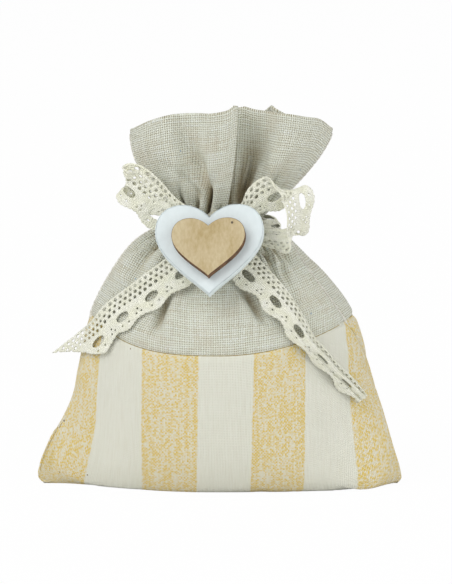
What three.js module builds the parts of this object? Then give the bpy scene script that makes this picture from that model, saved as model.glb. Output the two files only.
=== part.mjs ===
// A small standing pouch: linen top and striped cotton bottom, filled with dried lavender,
// tied at the neck with a lace bow that carries two glued hearts.
// Millimetres, +Z up, the front faces -Y, the base rests on Z = 0.
import * as THREE from 'three';
import { mergeVertices } from 'three/addons/utils/BufferGeometryUtils.js';

// Pouch
const POUCH_WIDTH = 100.6;
const POUCH_HEIGHT = 105;
const BELLY_DEPTH = 42;
const CLOTH_THICKNESS = 0.8;
const PIECE_GAP = 0.3;
const BASE_SETTLE = 0.3;

// Side and waist seams
const SEAM_THICKNESS = 0.6;
const SEAM_ALLOWANCE = 3;
const SEAM_SHOWING = 0.1;
const WAIST_SEAM_WIDTH = 6;
const WAIST_SEAM_CLEARANCE = 0.45;

// Filling
const FILLING_SIDE_CLEARANCE = 5.6;
const FILLING_FACE_CLEARANCE = 1.5;
const FILLING_BASE_CLEARANCE = 0.6;

// Lace ribbon
const LACE_WIDTH = 10.6;
const LACE_THICKNESS = 0.7;
const HINGE_GAP = 0.7;
const WRAP_CLEARANCE = 0.8;
const WRAP_HEIGHT = 3.9;
const WRAP_BELOW_NECK = 3.64;

// Knot
const KNOT_WIDTH = 9;
const KNOT_HEIGHT = 6;
const KNOT_TOP_DEPTH = 1.5;

// Hearts and glue
const HEART_WIDTH = 29.5;
const HEART_LENGTH = 25.5;
const HEART_DROP = 9.65;
const HEART_SHIFT = 1.96;
const HEART_THICKNESS = 3;
const HEART_EDGE_ROUND = 0.5;
const WOOD_HEART_WIDTH = 20;
const WOOD_HEART_LENGTH = 16.3;
const WOOD_HEART_RISE = -0.15;
const WOOD_HEART_THICKNESS = 3;
const WOOD_HEART_EDGE_ROUND = 0.12;
const GLUE_THICKNESS = 0.5;
const GLUE_WIDTH = 7;
const GLUE_HEIGHT = 4.8;
const HEART_LEAN = THREE.MathUtils.degToRad(25);
const HEART_YAW = THREE.MathUtils.degToRad(-5);
const HEART_TURN = THREE.MathUtils.degToRad(2);

// Sampling counts
const ACROSS_STEPS = 26;
const RIBBON_STEPS = 18;
const ARC_STEPS = 12;

const halfWidth = POUCH_WIDTH / 2;
const halfDepth = BELLY_DEPTH / 2;
const slotHalf = SEAM_THICKNESS / 2 + PIECE_GAP;

// Each cloth row is a share of the cloth's length from the bottom fold (0) to the rim (1).
const FOLD_SHARE = 0.02;
const BASE_SHARE = 0.12;
const SETTLE_START_SHARE = 0.1;
const SETTLE_END_SHARE = 0.2;
const FLOOR_END_SHARE = 0.25;
const WAIST_SHARE = 0.43;
const NECK_SHARE = 0.76;
const BUNCH_SHARE = 0.07;
const FILLING_START_SHARE = 0.08;
const FILLING_END_SHARE = 0.65;
const SIDE_SEAM_START_SHARE = 0.035;
const SIDE_SEAM_END_SHARE = 0.99;
const WAIST_SEAM_SPAN_SHARE = 0.8;
const SLOPE_SHARE = 0.01;
const SEAM_SLOPE_SHARE = 0.005;

// Shares of the frill's height and of its flare to the right.
const MOUTH_OPEN_SHARE = 0.2;
const RIGHT_FLARE_SHARE = 0.35;

// Share along the cloth, then shares of half depth and of height, down the middle of the front.
const centreShares = [
  [0, 0, 0], [0.05, 0.3, 0], [0.107, 0.62, 0], [0.18, 0.905, 0.07], [0.29, 1, 0.205],
  [0.43, 0.976, 0.376], [0.537, 0.82, 0.49], [0.645, 0.58, 0.605], [0.727, 0.38, 0.69],
  [0.76, 0.3, 0.722],
];

// Share along the cloth, then shares of half width on the right, of height, and of half width on
// the left, along a side seam.
const edgeShares = [
  [0, 1, 0, 1], [0.107, 0.955, 0.1, 0.955], [0.18, 0.9, 0.186, 0.862], [0.235, 0.857, 0.245, 0.81],
  [0.29, 0.826, 0.305, 0.785], [0.43, 0.735, 0.452, 0.711], [0.537, 0.598, 0.548, 0.616],
  [0.645, 0.4, 0.643, 0.472], [0.727, 0.29, 0.694, 0.3], [0.76, 0.225, 0.708, 0.225],
];

// Share along the cloth, then the power that draws a section from a lens (high) to an oval (1) and the
// power by which a row of cloth climbs to the seams, both on the right, then both on the left.
const roundShares = [
  [0, 0.7, 24, 3.2, 12], [0.107, 0.64, 20, 2.9, 9], [0.18, 0.9, 6, 1.9, 4.5], [0.29, 1.2, 2.6, 1.3, 2.4],
  [0.43, 1.3, 2, 1.3, 2], [0.645, 1.1, 2, 1.1, 2], [0.76, 1, 2, 1, 2],
];

// Broad folds down the back of the shoulders: share across and share along the cloth at the start,
// the same at the end, then shares of half depth and of half width.
const backFoldShares = [
  [-0.4, 0.73, -0.62, 0.44, 0.12, 0.09], [-0.12, 0.73, -0.2, 0.44, 0.13, 0.09],
  [0.17, 0.73, 0.24, 0.44, 0.12, 0.09], [0.46, 0.73, 0.66, 0.44, 0.11, 0.09],
];

// Plan of the rim from left to right: shares of half width and of half depth.
const frontRimShares = [
  [-0.489, 0.02], [-0.388, 0.26], [-0.278, 0.32], [-0.2, 0.24], [-0.12, 0.3], [-0.05, 0.42], [0.04, 0.48],
  [0.1, 0.44], [0.15, 0.24], [0.229, 0.2], [0.298, 0.32], [0.378, 0.4], [0.467, 0.32], [0.547, 0.17],
  [0.614, 0.02],
];
const backRimShares = [
  [-0.489, 0.02], [-0.4, 0.09], [-0.29, 0.16], [-0.18, 0.1], [-0.07, 0.15], [0.05, 0.09], [0.17, 0.16],
  [0.3, 0.1], [0.42, 0.16], [0.53, 0.08], [0.614, 0.02],
];
const LEFT_SHAPE_START_SHARE = -0.15;
const LEFT_SHAPE_END_SHARE = 0.3;
const RIM_CORNER_SHARE = 0.94;
const RIM_CENTRE_SHARE = 0.99;
const BACK_RIM_SHARE = 0.97;
const BACK_DEPTH_SHARE = 0.96;

const FRONT = -1;
const BACK = 1;
const surface = { x: 0, y: 0, z: 0, clear: 0 };

// Colours
const colours = {
  linen: 0xcfd0c3,
  cotton: 0xddd6b4,
  thread: 0xb9b7a6,
  lace: 0xe4e2d2,
  paint: 0xdfe9ea,
  birch: 0xcdb98f,
  lavender: 0x6d6390,
  glue: 0xe9e4d4,
};

const pouch = new THREE.Group();

function clothMaterial(color) {
  return new THREE.MeshStandardMaterial({ color, roughness: 0.95, metalness: 0, side: THREE.DoubleSide });
}

function smooth(value, from, to) {
  return THREE.MathUtils.smoothstep(value, from, to);
}

function mix(a, b, share) {
  return a + (b - a) * share;
}

// Cubic curve through the rows of a table, read at one share; column picks the value.
function through(table, share, column) {
  const last = table.length - 1;
  let i = 0;
  while (i < last - 1 && share > table[i + 1][0]) i += 1;
  const slope = (k) => {
    const a = table[Math.max(k - 1, 0)];
    const b = table[Math.min(k + 1, last)];
    return (b[column] - a[column]) / (b[0] - a[0]);
  };
  const [start, end] = [table[i], table[i + 1]];
  const span = end[0] - start[0];
  const t = THREE.MathUtils.clamp((share - start[0]) / span, 0, 1);
  const t2 = t * t;
  const t3 = t2 * t;
  return (
    (2 * t3 - 3 * t2 + 1) * start[column] +
    (t3 - 2 * t2 + t) * span * slope(i) +
    (3 * t2 - 2 * t3) * end[column] +
    (t3 - t2) * span * slope(i + 1)
  );
}

// Point of a rim plan: across runs from -1 (left corner) to 1 (right corner).
function rimPlan(table, across) {
  const rows = table.map(([x, y], k) => [k / (table.length - 1), x, y]);
  const share = (across + 1) / 2;
  return [through(rows, share, 1) * halfWidth, through(rows, share, 2) * halfDepth];
}

// How far the cloth's hidden face lies from its outer one: the cloth is bunched up in the neck.
function clothInset(up) {
  const gather = smooth(up, NECK_SHARE - BUNCH_SHARE, NECK_SHARE);
  const bunch = gather * (1 - smooth(up, NECK_SHARE, NECK_SHARE + BUNCH_SHARE));
  const depth = through(centreShares, NECK_SHARE, 1) * halfDepth - slotHalf;
  return {
    x: CLOTH_THICKNESS * (1 + bunch),
    y: mix(CLOTH_THICKNESS, depth - CLOTH_THICKNESS / 2, bunch),
    z: CLOTH_THICKNESS,
    clear: 0,
  };
}

// Height of the broad folds: a bell curve across, which swells and fades along its line.
function foldHeight(side, across, up) {
  if (side === FRONT) {
    return 0;
  }
  return backFoldShares.reduce((height, [startAcross, startUp, endAcross, endUp, rise, width]) => {
    const t = THREE.MathUtils.clamp((up - startUp) / (endUp - startUp), 0, 1);
    const off = (across - mix(startAcross, endAcross, t)) / width;
    return height + rise * halfDepth * Math.sin(Math.PI * t) * Math.exp(-off * off);
  }, 0);
}

// Section of the filled bag: across is -1 at the left seam and 1 at the right one.
function bagPoint(side, across, up, inset) {
  const q = Math.sin((across * Math.PI) / 2);
  const left = smooth(-across, LEFT_SHAPE_START_SHARE, LEFT_SHAPE_END_SHARE);
  const power = mix(through(roundShares, up, 1), through(roundShares, up, 3), left);
  const bulge = Math.cos((across * Math.PI) / 2) ** power;
  const depthShare = side === FRONT ? 1 : BACK_DEPTH_SHARE;
  const width = through(edgeShares, up, across < 0 ? 3 : 1) * halfWidth - inset.x + inset.clear;
  const full = through(centreShares, up, 1) * halfDepth * depthShare - slotHalf;
  const depth = Math.max(full, 0) - Math.min(inset.y, Math.max(full, 0)) + inset.clear;
  const fold = Math.min(1, up / FOLD_SHARE);
  const seamHeight = through(edgeShares, up, 2) * POUCH_HEIGHT;
  const centreHeight = Math.max(0, through(centreShares, up, 2)) * POUCH_HEIGHT;
  const floorLift = inset.z * (1 - smooth(up, 0, FLOOR_END_SHARE));
  const settle = BASE_SETTLE * (1 - smooth(up, SETTLE_START_SHARE, SETTLE_END_SHARE));
  const climbPower = mix(through(roundShares, up, 2), through(roundShares, up, 4), left);
  const climb = mix(centreHeight, seamHeight, Math.abs(q) ** climbPower);
  const z = Math.max(0, climb - settle) + floorLift;
  const y = slotHalf * fold + depth * bulge + foldHeight(side, across, up);
  return new THREE.Vector3(q * width, side * y, z);
}

// Section of the open frill above the neck, which fans out from the neck to the rim plan.
function frillPoint(side, across, up, inset) {
  const rise = (up - NECK_SHARE) / (1 - NECK_SHARE);
  const flare = 1 - (1 - rise) ** (2 - RIGHT_FLARE_SHARE * Math.max(0, across));
  const neck = bagPoint(side, across, NECK_SHARE, { ...inset, clear: 0 });
  const [rimX, rimY] = rimPlan(side === FRONT ? frontRimShares : backRimShares, across);
  const open = smooth(rise, 0, MOUTH_OPEN_SHARE);
  const thickness = Math.max(0, CLOTH_THICKNESS - inset.y);
  const q = Math.sin((across * Math.PI) / 2);
  const rimShare = side === FRONT ? RIM_CENTRE_SHARE : BACK_RIM_SHARE;
  const rimTop = mix(RIM_CORNER_SHARE, rimShare, 1 - q ** 4) * POUCH_HEIGHT;
  const x = mix(neck.x, rimX, flare) + q * inset.clear;
  const spread = mix(Math.abs(neck.y), slotHalf + rimY + thickness, flare);
  const y = spread + thickness * open * (1 - flare) + inset.clear;
  return new THREE.Vector3(x, side * y, mix(neck.z, rimTop, rise));
}

function clothPoint(side, across, up, inset) {
  return up <= NECK_SHARE ? bagPoint(side, across, up, inset) : frillPoint(side, across, up, inset);
}

// Outward normal of the bag's surface.
function clothNormal(side, across, up) {
  const at = (acrossStep, upStep) => clothPoint(side, across + acrossStep, up + upStep, surface);
  const along = at(0, SLOPE_SHARE).sub(at(0, -SLOPE_SHARE));
  const aside = at(SLOPE_SHARE, 0).sub(at(-SLOPE_SHARE, 0));
  return aside.cross(along).multiplyScalar(-side).normalize();
}

function steps(count, from, to) {
  return Array.from({ length: count + 1 }, (_, i) => mix(from, to, i / count));
}

// Closed mesh from two facing grids of points; ring joins the first column to the last.
function closedSheet(outer, inner, ring) {
  const rows = outer.length;
  const columns = outer[0].length;
  const points = [...outer.flat(), ...inner.flat()];
  const index = [];
  const at = (layer, i, j) => layer * rows * columns + i * columns + (j % columns);
  const quad = (a, b, c, d) => index.push(a, b, c, a, c, d);
  const lastColumn = ring ? columns : columns - 1;
  for (let i = 0; i < rows - 1; i += 1) {
    for (let j = 0; j < lastColumn; j += 1) {
      quad(at(0, i, j), at(0, i, j + 1), at(0, i + 1, j + 1), at(0, i + 1, j));
      quad(at(1, i, j), at(1, i + 1, j), at(1, i + 1, j + 1), at(1, i, j + 1));
    }
    if (!ring) {
      quad(at(0, i, 0), at(0, i + 1, 0), at(1, i + 1, 0), at(1, i, 0));
      quad(at(0, i + 1, lastColumn), at(0, i, lastColumn), at(1, i, lastColumn), at(1, i + 1, lastColumn));
    }
  }
  for (let j = 0; j < lastColumn; j += 1) {
    quad(at(0, 0, j + 1), at(0, 0, j), at(1, 0, j), at(1, 0, j + 1));
    quad(at(0, rows - 1, j), at(0, rows - 1, j + 1), at(1, rows - 1, j + 1), at(1, rows - 1, j));
  }
  return facedOutward(points, index);
}

// Indexed geometry whose triangles all face away from the solid.
function facedOutward(points, index) {
  let volume = 0;
  for (let k = 0; k < index.length; k += 3) {
    const [a, b, c] = [points[index[k]], points[index[k + 1]], points[index[k + 2]]];
    volume += a.dot(b.clone().cross(c));
  }
  if (volume < 0) {
    index.reverse();
  }
  const geometry = new THREE.BufferGeometry().setFromPoints(points);
  geometry.setIndex(index);
  geometry.computeVertexNormals();
  return geometry;
}

function addPiece(name, geometry, material, parent = pouch) {
  const mesh = new THREE.Mesh(geometry, material);
  mesh.name = name;
  parent.add(mesh);
  return mesh;
}

// Cloth panels
function clothPanel(rows, sideOf) {
  const columns = steps(ACROSS_STEPS, -1, 1);
  const face = (insetAt) =>
    rows.map((row) => {
      const up = Math.abs(row);
      return columns.map((across) => clothPoint(sideOf(row), across, up, insetAt(up)));
    });
  return closedSheet(face(() => surface), face(clothInset), false);
}

function linenPanel(side) {
  const startShare = WAIST_SHARE + PIECE_GAP / POUCH_HEIGHT / 2;
  const shoulders = steps(8, startShare, NECK_SHARE - BUNCH_SHARE);
  const neck = steps(6, NECK_SHARE - 2 * FOLD_SHARE, NECK_SHARE + 2 * FOLD_SHARE);
  const frill = steps(6, NECK_SHARE + BUNCH_SHARE, 1);
  return clothPanel([...shoulders, ...neck, ...frill], () => side);
}

// One piece that runs down the back, turns under the base and comes up the front.
function stripedPanel() {
  const endShare = WAIST_SHARE - PIECE_GAP / POUCH_HEIGHT / 2;
  const climb = [...steps(5, FOLD_SHARE, BASE_SHARE), ...steps(7, BASE_SHARE + FOLD_SHARE, endShare)];
  const rows = [...climb.map((up) => -up).reverse(), 0, ...climb];
  return clothPanel(rows, (up) => (up < 0 ? BACK : FRONT));
}

addPiece('linen_front_panel', linenPanel(FRONT), clothMaterial(colours.linen));
addPiece('linen_back_panel', linenPanel(BACK), clothMaterial(colours.linen));
addPiece('striped_panel', stripedPanel(), clothMaterial(colours.cotton));

// Seams
function sideSeam(end) {
  const belly = steps(9, SIDE_SEAM_START_SHARE, WAIST_SHARE);
  const shoulder = steps(5, WAIST_SHARE + 2 * FOLD_SHARE, NECK_SHARE - BUNCH_SHARE);
  const neck = steps(6, NECK_SHARE - 2 * FOLD_SHARE, NECK_SHARE + 2 * FOLD_SHARE);
  const frill = steps(5, NECK_SHARE + BUNCH_SHARE, SIDE_SEAM_END_SHARE);
  const rows = [...belly, ...shoulder, ...neck, ...frill];
  const edge = (up) => clothPoint(FRONT, end, up, surface).setY(0);
  const grids = [FRONT, BACK].map((side) =>
    rows.map((up) => {
      const along = edge(up + SEAM_SLOPE_SHARE).sub(edge(up - SEAM_SLOPE_SHARE)).normalize();
      const outward = new THREE.Vector3(along.z, 0, -along.x).multiplyScalar(end);
      return [SEAM_SHOWING, SEAM_SHOWING - SEAM_ALLOWANCE].map((reach) =>
        edge(up).addScaledVector(outward, reach).setY((side * SEAM_THICKNESS) / 2),
      );
    }),
  );
  return closedSheet(grids[0], grids[1], false);
}

function waistSeam(side) {
  const reachShare = WAIST_SEAM_WIDTH / POUCH_HEIGHT / 2;
  const rows = steps(2, WAIST_SHARE - reachShare, WAIST_SHARE + reachShare);
  const columns = steps(ACROSS_STEPS, -WAIST_SEAM_SPAN_SHARE, WAIST_SEAM_SPAN_SHARE);
  const face = (depth) => {
    const inset = { x: depth, y: depth, z: 0, clear: 0 };
    return rows.map((up) => columns.map((across) => clothPoint(side, across, up, inset)));
  };
  const near = CLOTH_THICKNESS + WAIST_SEAM_CLEARANCE;
  return closedSheet(face(near), face(near + SEAM_THICKNESS), false);
}

addPiece('left_side_seam', sideSeam(-1), clothMaterial(colours.thread));
addPiece('right_side_seam', sideSeam(1), clothMaterial(colours.thread));
addPiece('front_waist_seam', waistSeam(FRONT), clothMaterial(colours.thread));
addPiece('back_waist_seam', waistSeam(BACK), clothMaterial(colours.thread));

// Filling
function lavenderFilling() {
  const inset = {
    x: FILLING_SIDE_CLEARANCE,
    y: CLOTH_THICKNESS + FILLING_FACE_CLEARANCE,
    z: CLOTH_THICKNESS + FILLING_BASE_CLEARANCE,
    clear: 0,
  };
  const rows = steps(12, FILLING_START_SHARE, FILLING_END_SHARE);
  const columns = steps(16, -1, 1);
  const face = (side) => rows.map((up) => columns.map((across) => clothPoint(side, across, up, inset)));
  return closedSheet(face(FRONT), face(BACK), false);
}

addPiece('lavender_filling', lavenderFilling(), clothMaterial(colours.lavender));

// Lace round the neck
const wrapStartShare = NECK_SHARE - WRAP_BELOW_NECK / POUCH_HEIGHT;
const wrapEndShare = wrapStartShare + WRAP_HEIGHT / POUCH_HEIGHT;

function neckWrap() {
  const rows = steps(5, wrapStartShare, wrapEndShare);
  const columns = steps(16, -1, 1);
  const loop = (up, clear) => {
    const inset = { x: 0, y: 0, z: 0, clear };
    const front = columns.slice(0, -1).map((across) => clothPoint(FRONT, across, up, inset));
    const back = columns.slice(1).reverse().map((across) => clothPoint(BACK, across, up, inset));
    return [...front, ...back];
  };
  const outer = rows.map((up) => loop(up, WRAP_CLEARANCE + LACE_THICKNESS));
  const inner = rows.map((up) => loop(up, WRAP_CLEARANCE));
  return closedSheet(outer, inner, true);
}

addPiece('lace_neck_wrap', neckWrap(), clothMaterial(colours.lace));

// Knot, glue and hearts stand in front of the neck; the knot's front face leans back with the hearts.
const wrapFronts = [wrapStartShare, wrapEndShare].map((up) =>
  clothPoint(FRONT, 0, up, { ...surface, clear: WRAP_CLEARANCE + LACE_THICKNESS }),
);
const wrapReach = Math.min(...wrapFronts.map((point) => point.y));
const neckFront = clothPoint(FRONT, 0, NECK_SHARE, surface);
const bow = new THREE.Group();
bow.position.set(0, wrapReach - PIECE_GAP, neckFront.z);
bow.rotation.z = HEART_YAW;
pouch.add(bow);

const knotFaceDepth = KNOT_TOP_DEPTH + (Math.tan(HEART_LEAN) * KNOT_HEIGHT) / 2;

function knot() {
  const profile = new THREE.Shape();
  profile.moveTo(0, KNOT_HEIGHT / 2);
  profile.lineTo(-KNOT_TOP_DEPTH, KNOT_HEIGHT / 2);
  profile.lineTo(-KNOT_TOP_DEPTH - Math.tan(HEART_LEAN) * KNOT_HEIGHT, -KNOT_HEIGHT / 2);
  profile.lineTo(0, -KNOT_HEIGHT / 2);
  profile.closePath();
  const solid = new THREE.ExtrudeGeometry(profile, { depth: KNOT_WIDTH, bevelEnabled: false });
  solid.translate(0, 0, -KNOT_WIDTH / 2);
  solid.rotateX(Math.PI / 2);
  solid.rotateZ(Math.PI / 2);
  return solid;
}

// Curves of half a heart from its point to its cleft: shares of half width and of half length.
const heartShares = [
  [0, -1], [0.2, -0.72], [1, -0.2], [1, 0.4], [1, 0.82], [0.76, 1], [0.5, 1], [0.3, 1], [0.12, 0.88],
  [0, 0.73],
];

// Half a heart mirrored: lobes at the top, point at the bottom, centred on its own box.
function heartShape(width, length) {
  const right = heartShares.map(([x, y]) => [(x * width) / 2, (y * length) / 2]);
  const left = right.map(([x, y]) => [-x, y]).reverse();
  const heart = new THREE.Shape();
  heart.moveTo(...right[0]);
  for (const side of [right, left]) {
    for (let k = 1; k < side.length; k += 3) {
      heart.bezierCurveTo(...side[k], ...side[k + 1], ...side[k + 2]);
    }
  }
  return heart;
}

// The solid stands upright with its back face on Y = 0.
function heartSolid(width, length, thickness, round) {
  const shape = heartShape(width - 2 * round, length - 2 * round);
  const solid = new THREE.ExtrudeGeometry(shape, {
    depth: thickness - 2 * round,
    bevelEnabled: true,
    bevelThickness: round,
    bevelSize: round,
    bevelSegments: 2,
    curveSegments: ARC_STEPS,
  });
  solid.translate(0, 0, round);
  solid.rotateX(Math.PI / 2);
  return solid;
}

// Only the positions are kept, so that shared corners become one.
function weld(geometry) {
  geometry.deleteAttribute('normal');
  geometry.deleteAttribute('uv');
  const solid = mergeVertices(geometry);
  solid.computeVertexNormals();
  return solid;
}

const heartStack = new THREE.Group();
heartStack.position.set(0, -knotFaceDepth, 0);
heartStack.rotation.x = -HEART_LEAN;
bow.add(heartStack);

addPiece('lace_knot', weld(knot()), clothMaterial(colours.lace), bow);

const glueShape = new THREE.Shape();
glueShape.absellipse(0, 0, GLUE_WIDTH / 2, GLUE_HEIGHT / 2, 0, 2 * Math.PI);
const gluePad = new THREE.ExtrudeGeometry(glueShape, {
  depth: GLUE_THICKNESS,
  bevelEnabled: false,
  curveSegments: ARC_STEPS,
});
gluePad.rotateX(Math.PI / 2);
const glueMaterial = new THREE.MeshStandardMaterial({ color: colours.glue, roughness: 0.3, metalness: 0 });
const glue = addPiece('heart_glue', weld(gluePad), glueMaterial, heartStack);
glue.position.y = -PIECE_GAP;

const paintMaterial = new THREE.MeshStandardMaterial({ color: colours.paint, roughness: 0.6, metalness: 0 });
const whiteHeart = addPiece(
  'white_heart',
  weld(heartSolid(HEART_WIDTH, HEART_LENGTH, HEART_THICKNESS, HEART_EDGE_ROUND)),
  paintMaterial,
  heartStack,
);
whiteHeart.position.set(-HEART_SHIFT, glue.position.y - GLUE_THICKNESS - PIECE_GAP, -HEART_DROP);
whiteHeart.rotation.y = -HEART_TURN;

const birchMaterial = new THREE.MeshStandardMaterial({ color: colours.birch, roughness: 0.7, metalness: 0 });
const woodHeart = addPiece(
  'wood_heart',
  weld(heartSolid(WOOD_HEART_WIDTH, WOOD_HEART_LENGTH, WOOD_HEART_THICKNESS, WOOD_HEART_EDGE_ROUND)),
  birchMaterial,
  heartStack,
);
woodHeart.position.set(
  whiteHeart.position.x,
  whiteHeart.position.y - HEART_THICKNESS - PIECE_GAP,
  whiteHeart.position.z + WOOD_HEART_RISE,
);
woodHeart.rotation.y = -HEART_TURN;

// Lace strip from rows of centre, side direction, normal and width.
function ribbonSolid(rows) {
  const face = (lift) =>
    rows.map(({ centre, aside, normal, width }) =>
      [-0.5, 0, 0.5].map((share) =>
        centre.clone().addScaledVector(aside, share * width).addScaledVector(normal, lift),
      ),
    );
  return closedSheet(face(LACE_THICKNESS / 2), face(-LACE_THICKNESS / 2), false);
}

// Strip that lies over the cloth. Each row holds its shares across and up the cloth, how far it
// lifts off the cloth as a share of its width, its twist as a share of a turn, and its width share.
function layOverCloth(path, fromShare, toShare, trimStart, trimEnd) {
  const count = path.length - 1;
  const rows = path.map((row, k) => [k / count, ...row]);
  const value = (share, column) => through(rows, share, column);
  const middle = (share) => {
    const [across, up] = [value(share, 1), value(share, 2)];
    const normal = clothNormal(FRONT, across, up);
    const standOff = LACE_THICKNESS / 2 + PIECE_GAP + value(share, 3) * LACE_WIDTH;
    return { centre: clothPoint(FRONT, across, up, surface).addScaledVector(normal, standOff), normal };
  };
  const shares = steps(RIBBON_STEPS, fromShare, toShare);
  return shares.map((share, k) => {
    const here = middle(share);
    const along = middle(share + SLOPE_SHARE).centre.sub(middle(share - SLOPE_SHARE).centre).normalize();
    const trim = k === 0 ? trimStart : k === shares.length - 1 ? -trimEnd : 0;
    const aside = new THREE.Vector3().crossVectors(here.normal, along).normalize();
    aside.applyAxisAngle(along, value(share, 4) * 2 * Math.PI);
    const normal = new THREE.Vector3().crossVectors(along, aside).normalize();
    return {
      centre: here.centre.addScaledVector(along, trim),
      aside,
      normal,
      width: LACE_WIDTH * value(share, 5),
    };
  });
}

const leftTailShares = [
  [-0.1, 0.713, 0, 0, 0.4], [-0.2, 0.67, 0.02, 0, 0.8], [-0.31, 0.625, 0.02, 0, 1],
  [-0.4, 0.59, 0.02, 0, 1], [-0.48, 0.56, 0.02, 0, 1], [-0.58, 0.53, 0.02, 0, 1], [-0.66, 0.48, 0.02, 0, 1],
  [-0.76, 0.42, 0.06, 0, 1], [-0.87, 0.37, 0.18, 0, 0.95], [-0.97, 0.335, 0.48, 0, 0.9],
];
const rightTailShares = [
  [0.07, 0.713, 0, 0, 0.4], [0.12, 0.67, 0.02, 0, 0.8], [0.18, 0.628, 0.02, 0, 1],
  [0.24, 0.603, 0.02, 0, 1], [0.31, 0.574, 0.02, 0, 1], [0.345, 0.537, 0.02, 0, 1], [0.37, 0.5, 0.02, 0, 0.95],
  [0.414, 0.47, 0.02, 0, 0.85], [0.45, 0.435, 0.02, 0, 0.8], [0.52, 0.38, 0.02, 0, 0.7],
  [0.572, 0.318, 0.02, 0, 0.6], [0.684, 0.248, 0.02, 0, 0.5],
];
const HINGE_ROW = 2;

function tail(name, path) {
  const hingeShare = HINGE_ROW / (path.length - 1);
  const root = layOverCloth(path, SLOPE_SHARE, hingeShare, 0, HINGE_GAP / 2);
  const free = layOverCloth(path, hingeShare, 1 - SLOPE_SHARE, HINGE_GAP / 2, 0);
  addPiece(`${name}_root`, ribbonSolid(root), clothMaterial(colours.lace));
  addPiece(name, ribbonSolid(free), clothMaterial(colours.lace));
}

tail('lace_left_tail', leftTailShares);
tail('lace_right_tail', rightTailShares);

// Bow loops: rows of shares of half width, half depth and height for the middle of the strip,
// then the direction across the strip and the share of its full width.
const leftLoopShares = [
  [-0.112, -0.54, 0.712, 0.1, 0, 1, 0.4], [-0.22, -0.5, 0.718, 0.3, 0, 1, 0.65],
  [-0.33, -0.49, 0.735, 0.67, 0, 0.74, 0.95], [-0.4, -0.51, 0.765, 0.55, 0, 0.83, 1],
  [-0.47, -0.53, 0.797, 0.35, 0, 0.93, 1], [-0.505, -0.47, 0.817, 0.15, 0, 1, 1],
  [-0.46, -0.4, 0.822, 0.3, 0, 0.95, 1], [-0.356, -0.38, 0.775, 0.55, 0, 0.8, 0.95],
  [-0.24, -0.41, 0.735, 0.3, 0, 0.9, 0.6], [-0.112, -0.46, 0.712, 0.1, 0, 1, 0.35],
];
const rightLoopShares = [
  [0.108, -0.46, 0.722, -0.3, 0, 1, 0.35], [0.165, -0.48, 0.742, -0.6, 0, 0.7, 0.6],
  [0.23, -0.54, 0.775, -0.6, 0.2, 0.6, 0.9], [0.302, -0.63, 0.793, -0.3, 0.6, 0.4, 1],
  [0.39, -0.61, 0.79, 0.3, 0.75, 0.3, 1], [0.43, -0.57, 0.75, 0.68, 0.73, 0, 1],
  [0.43, -0.56, 0.705, 0.68, 0.73, 0, 1], [0.38, -0.56, 0.672, 0.45, 0.8, 0.1, 0.9],
  [0.29, -0.55, 0.668, 0.1, 0.75, 0.3, 0.75], [0.2, -0.54, 0.686, 0, 0.3, 0.8, 0.5],
  [0.108, -0.54, 0.702, 0, 0, 1, 0.35],
];

function bowLoop(name, path) {
  const rows = path.map((row, k) => [k / (path.length - 1), ...row]);
  const middle = (share) =>
    new THREE.Vector3(
      through(rows, share, 1) * halfWidth,
      through(rows, share, 2) * halfDepth,
      through(rows, share, 3) * POUCH_HEIGHT,
    );
  const strip = steps(RIBBON_STEPS * 2, 0, 1).map((share) => {
    const ahead = middle(Math.min(share + SLOPE_SHARE, 1));
    const along = ahead.sub(middle(Math.max(share - SLOPE_SHARE, 0))).normalize();
    const aside = new THREE.Vector3(...[4, 5, 6].map((column) => through(rows, share, column)));
    aside.addScaledVector(along, -aside.dot(along)).normalize();
    const normal = new THREE.Vector3().crossVectors(along, aside).normalize();
    return { centre: middle(share), aside, normal, width: LACE_WIDTH * through(rows, share, 7) };
  });
  addPiece(name, ribbonSolid(strip), clothMaterial(colours.lace));
}

bowLoop('lace_left_loop', leftLoopShares);
bowLoop('lace_right_loop', rightLoopShares);

export default pouch;
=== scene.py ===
"""Scented sachet pouch: linen and striped cotton, dried lavender, a lace bow and two wooden hearts.

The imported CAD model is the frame. Every piece here is a surface worked out with numpy in millimetres and
put into its mesh in metres.
"""

import math

import bmesh
import bpy
import numpy as np
from mathutils import Matrix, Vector
from mathutils.bvhtree import BVHTree


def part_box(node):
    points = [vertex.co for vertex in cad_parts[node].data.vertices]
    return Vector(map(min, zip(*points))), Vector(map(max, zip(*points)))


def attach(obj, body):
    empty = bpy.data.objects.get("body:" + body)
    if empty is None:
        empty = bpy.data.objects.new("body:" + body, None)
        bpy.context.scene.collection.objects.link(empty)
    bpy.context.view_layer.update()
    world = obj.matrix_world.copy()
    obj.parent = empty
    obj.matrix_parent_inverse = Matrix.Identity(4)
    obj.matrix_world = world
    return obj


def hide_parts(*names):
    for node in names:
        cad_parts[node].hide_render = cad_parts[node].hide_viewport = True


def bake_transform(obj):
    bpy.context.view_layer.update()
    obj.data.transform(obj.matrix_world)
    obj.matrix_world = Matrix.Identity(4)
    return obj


bl_info = {
    "name": "Scented Sachet Pouch",
    "version": (1, 0, 0),
    "blender": (4, 5, 0),
    "location": "View3D > Sidebar > Sachet",
    "description": "Builds a lavender sachet of linen and striped cotton with a lace bow and wooden hearts",
    "category": "Add Mesh",
}

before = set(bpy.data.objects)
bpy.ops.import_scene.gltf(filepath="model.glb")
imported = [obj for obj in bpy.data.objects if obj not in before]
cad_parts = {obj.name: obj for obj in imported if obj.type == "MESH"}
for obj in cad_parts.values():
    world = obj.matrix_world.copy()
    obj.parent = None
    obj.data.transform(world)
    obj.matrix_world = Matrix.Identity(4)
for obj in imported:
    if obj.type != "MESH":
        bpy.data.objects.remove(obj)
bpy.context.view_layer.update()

MM = 0.001
# The two sides of the pouch, by the sign of y.
FRONT, BACK = -1.0, 1.0

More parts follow.
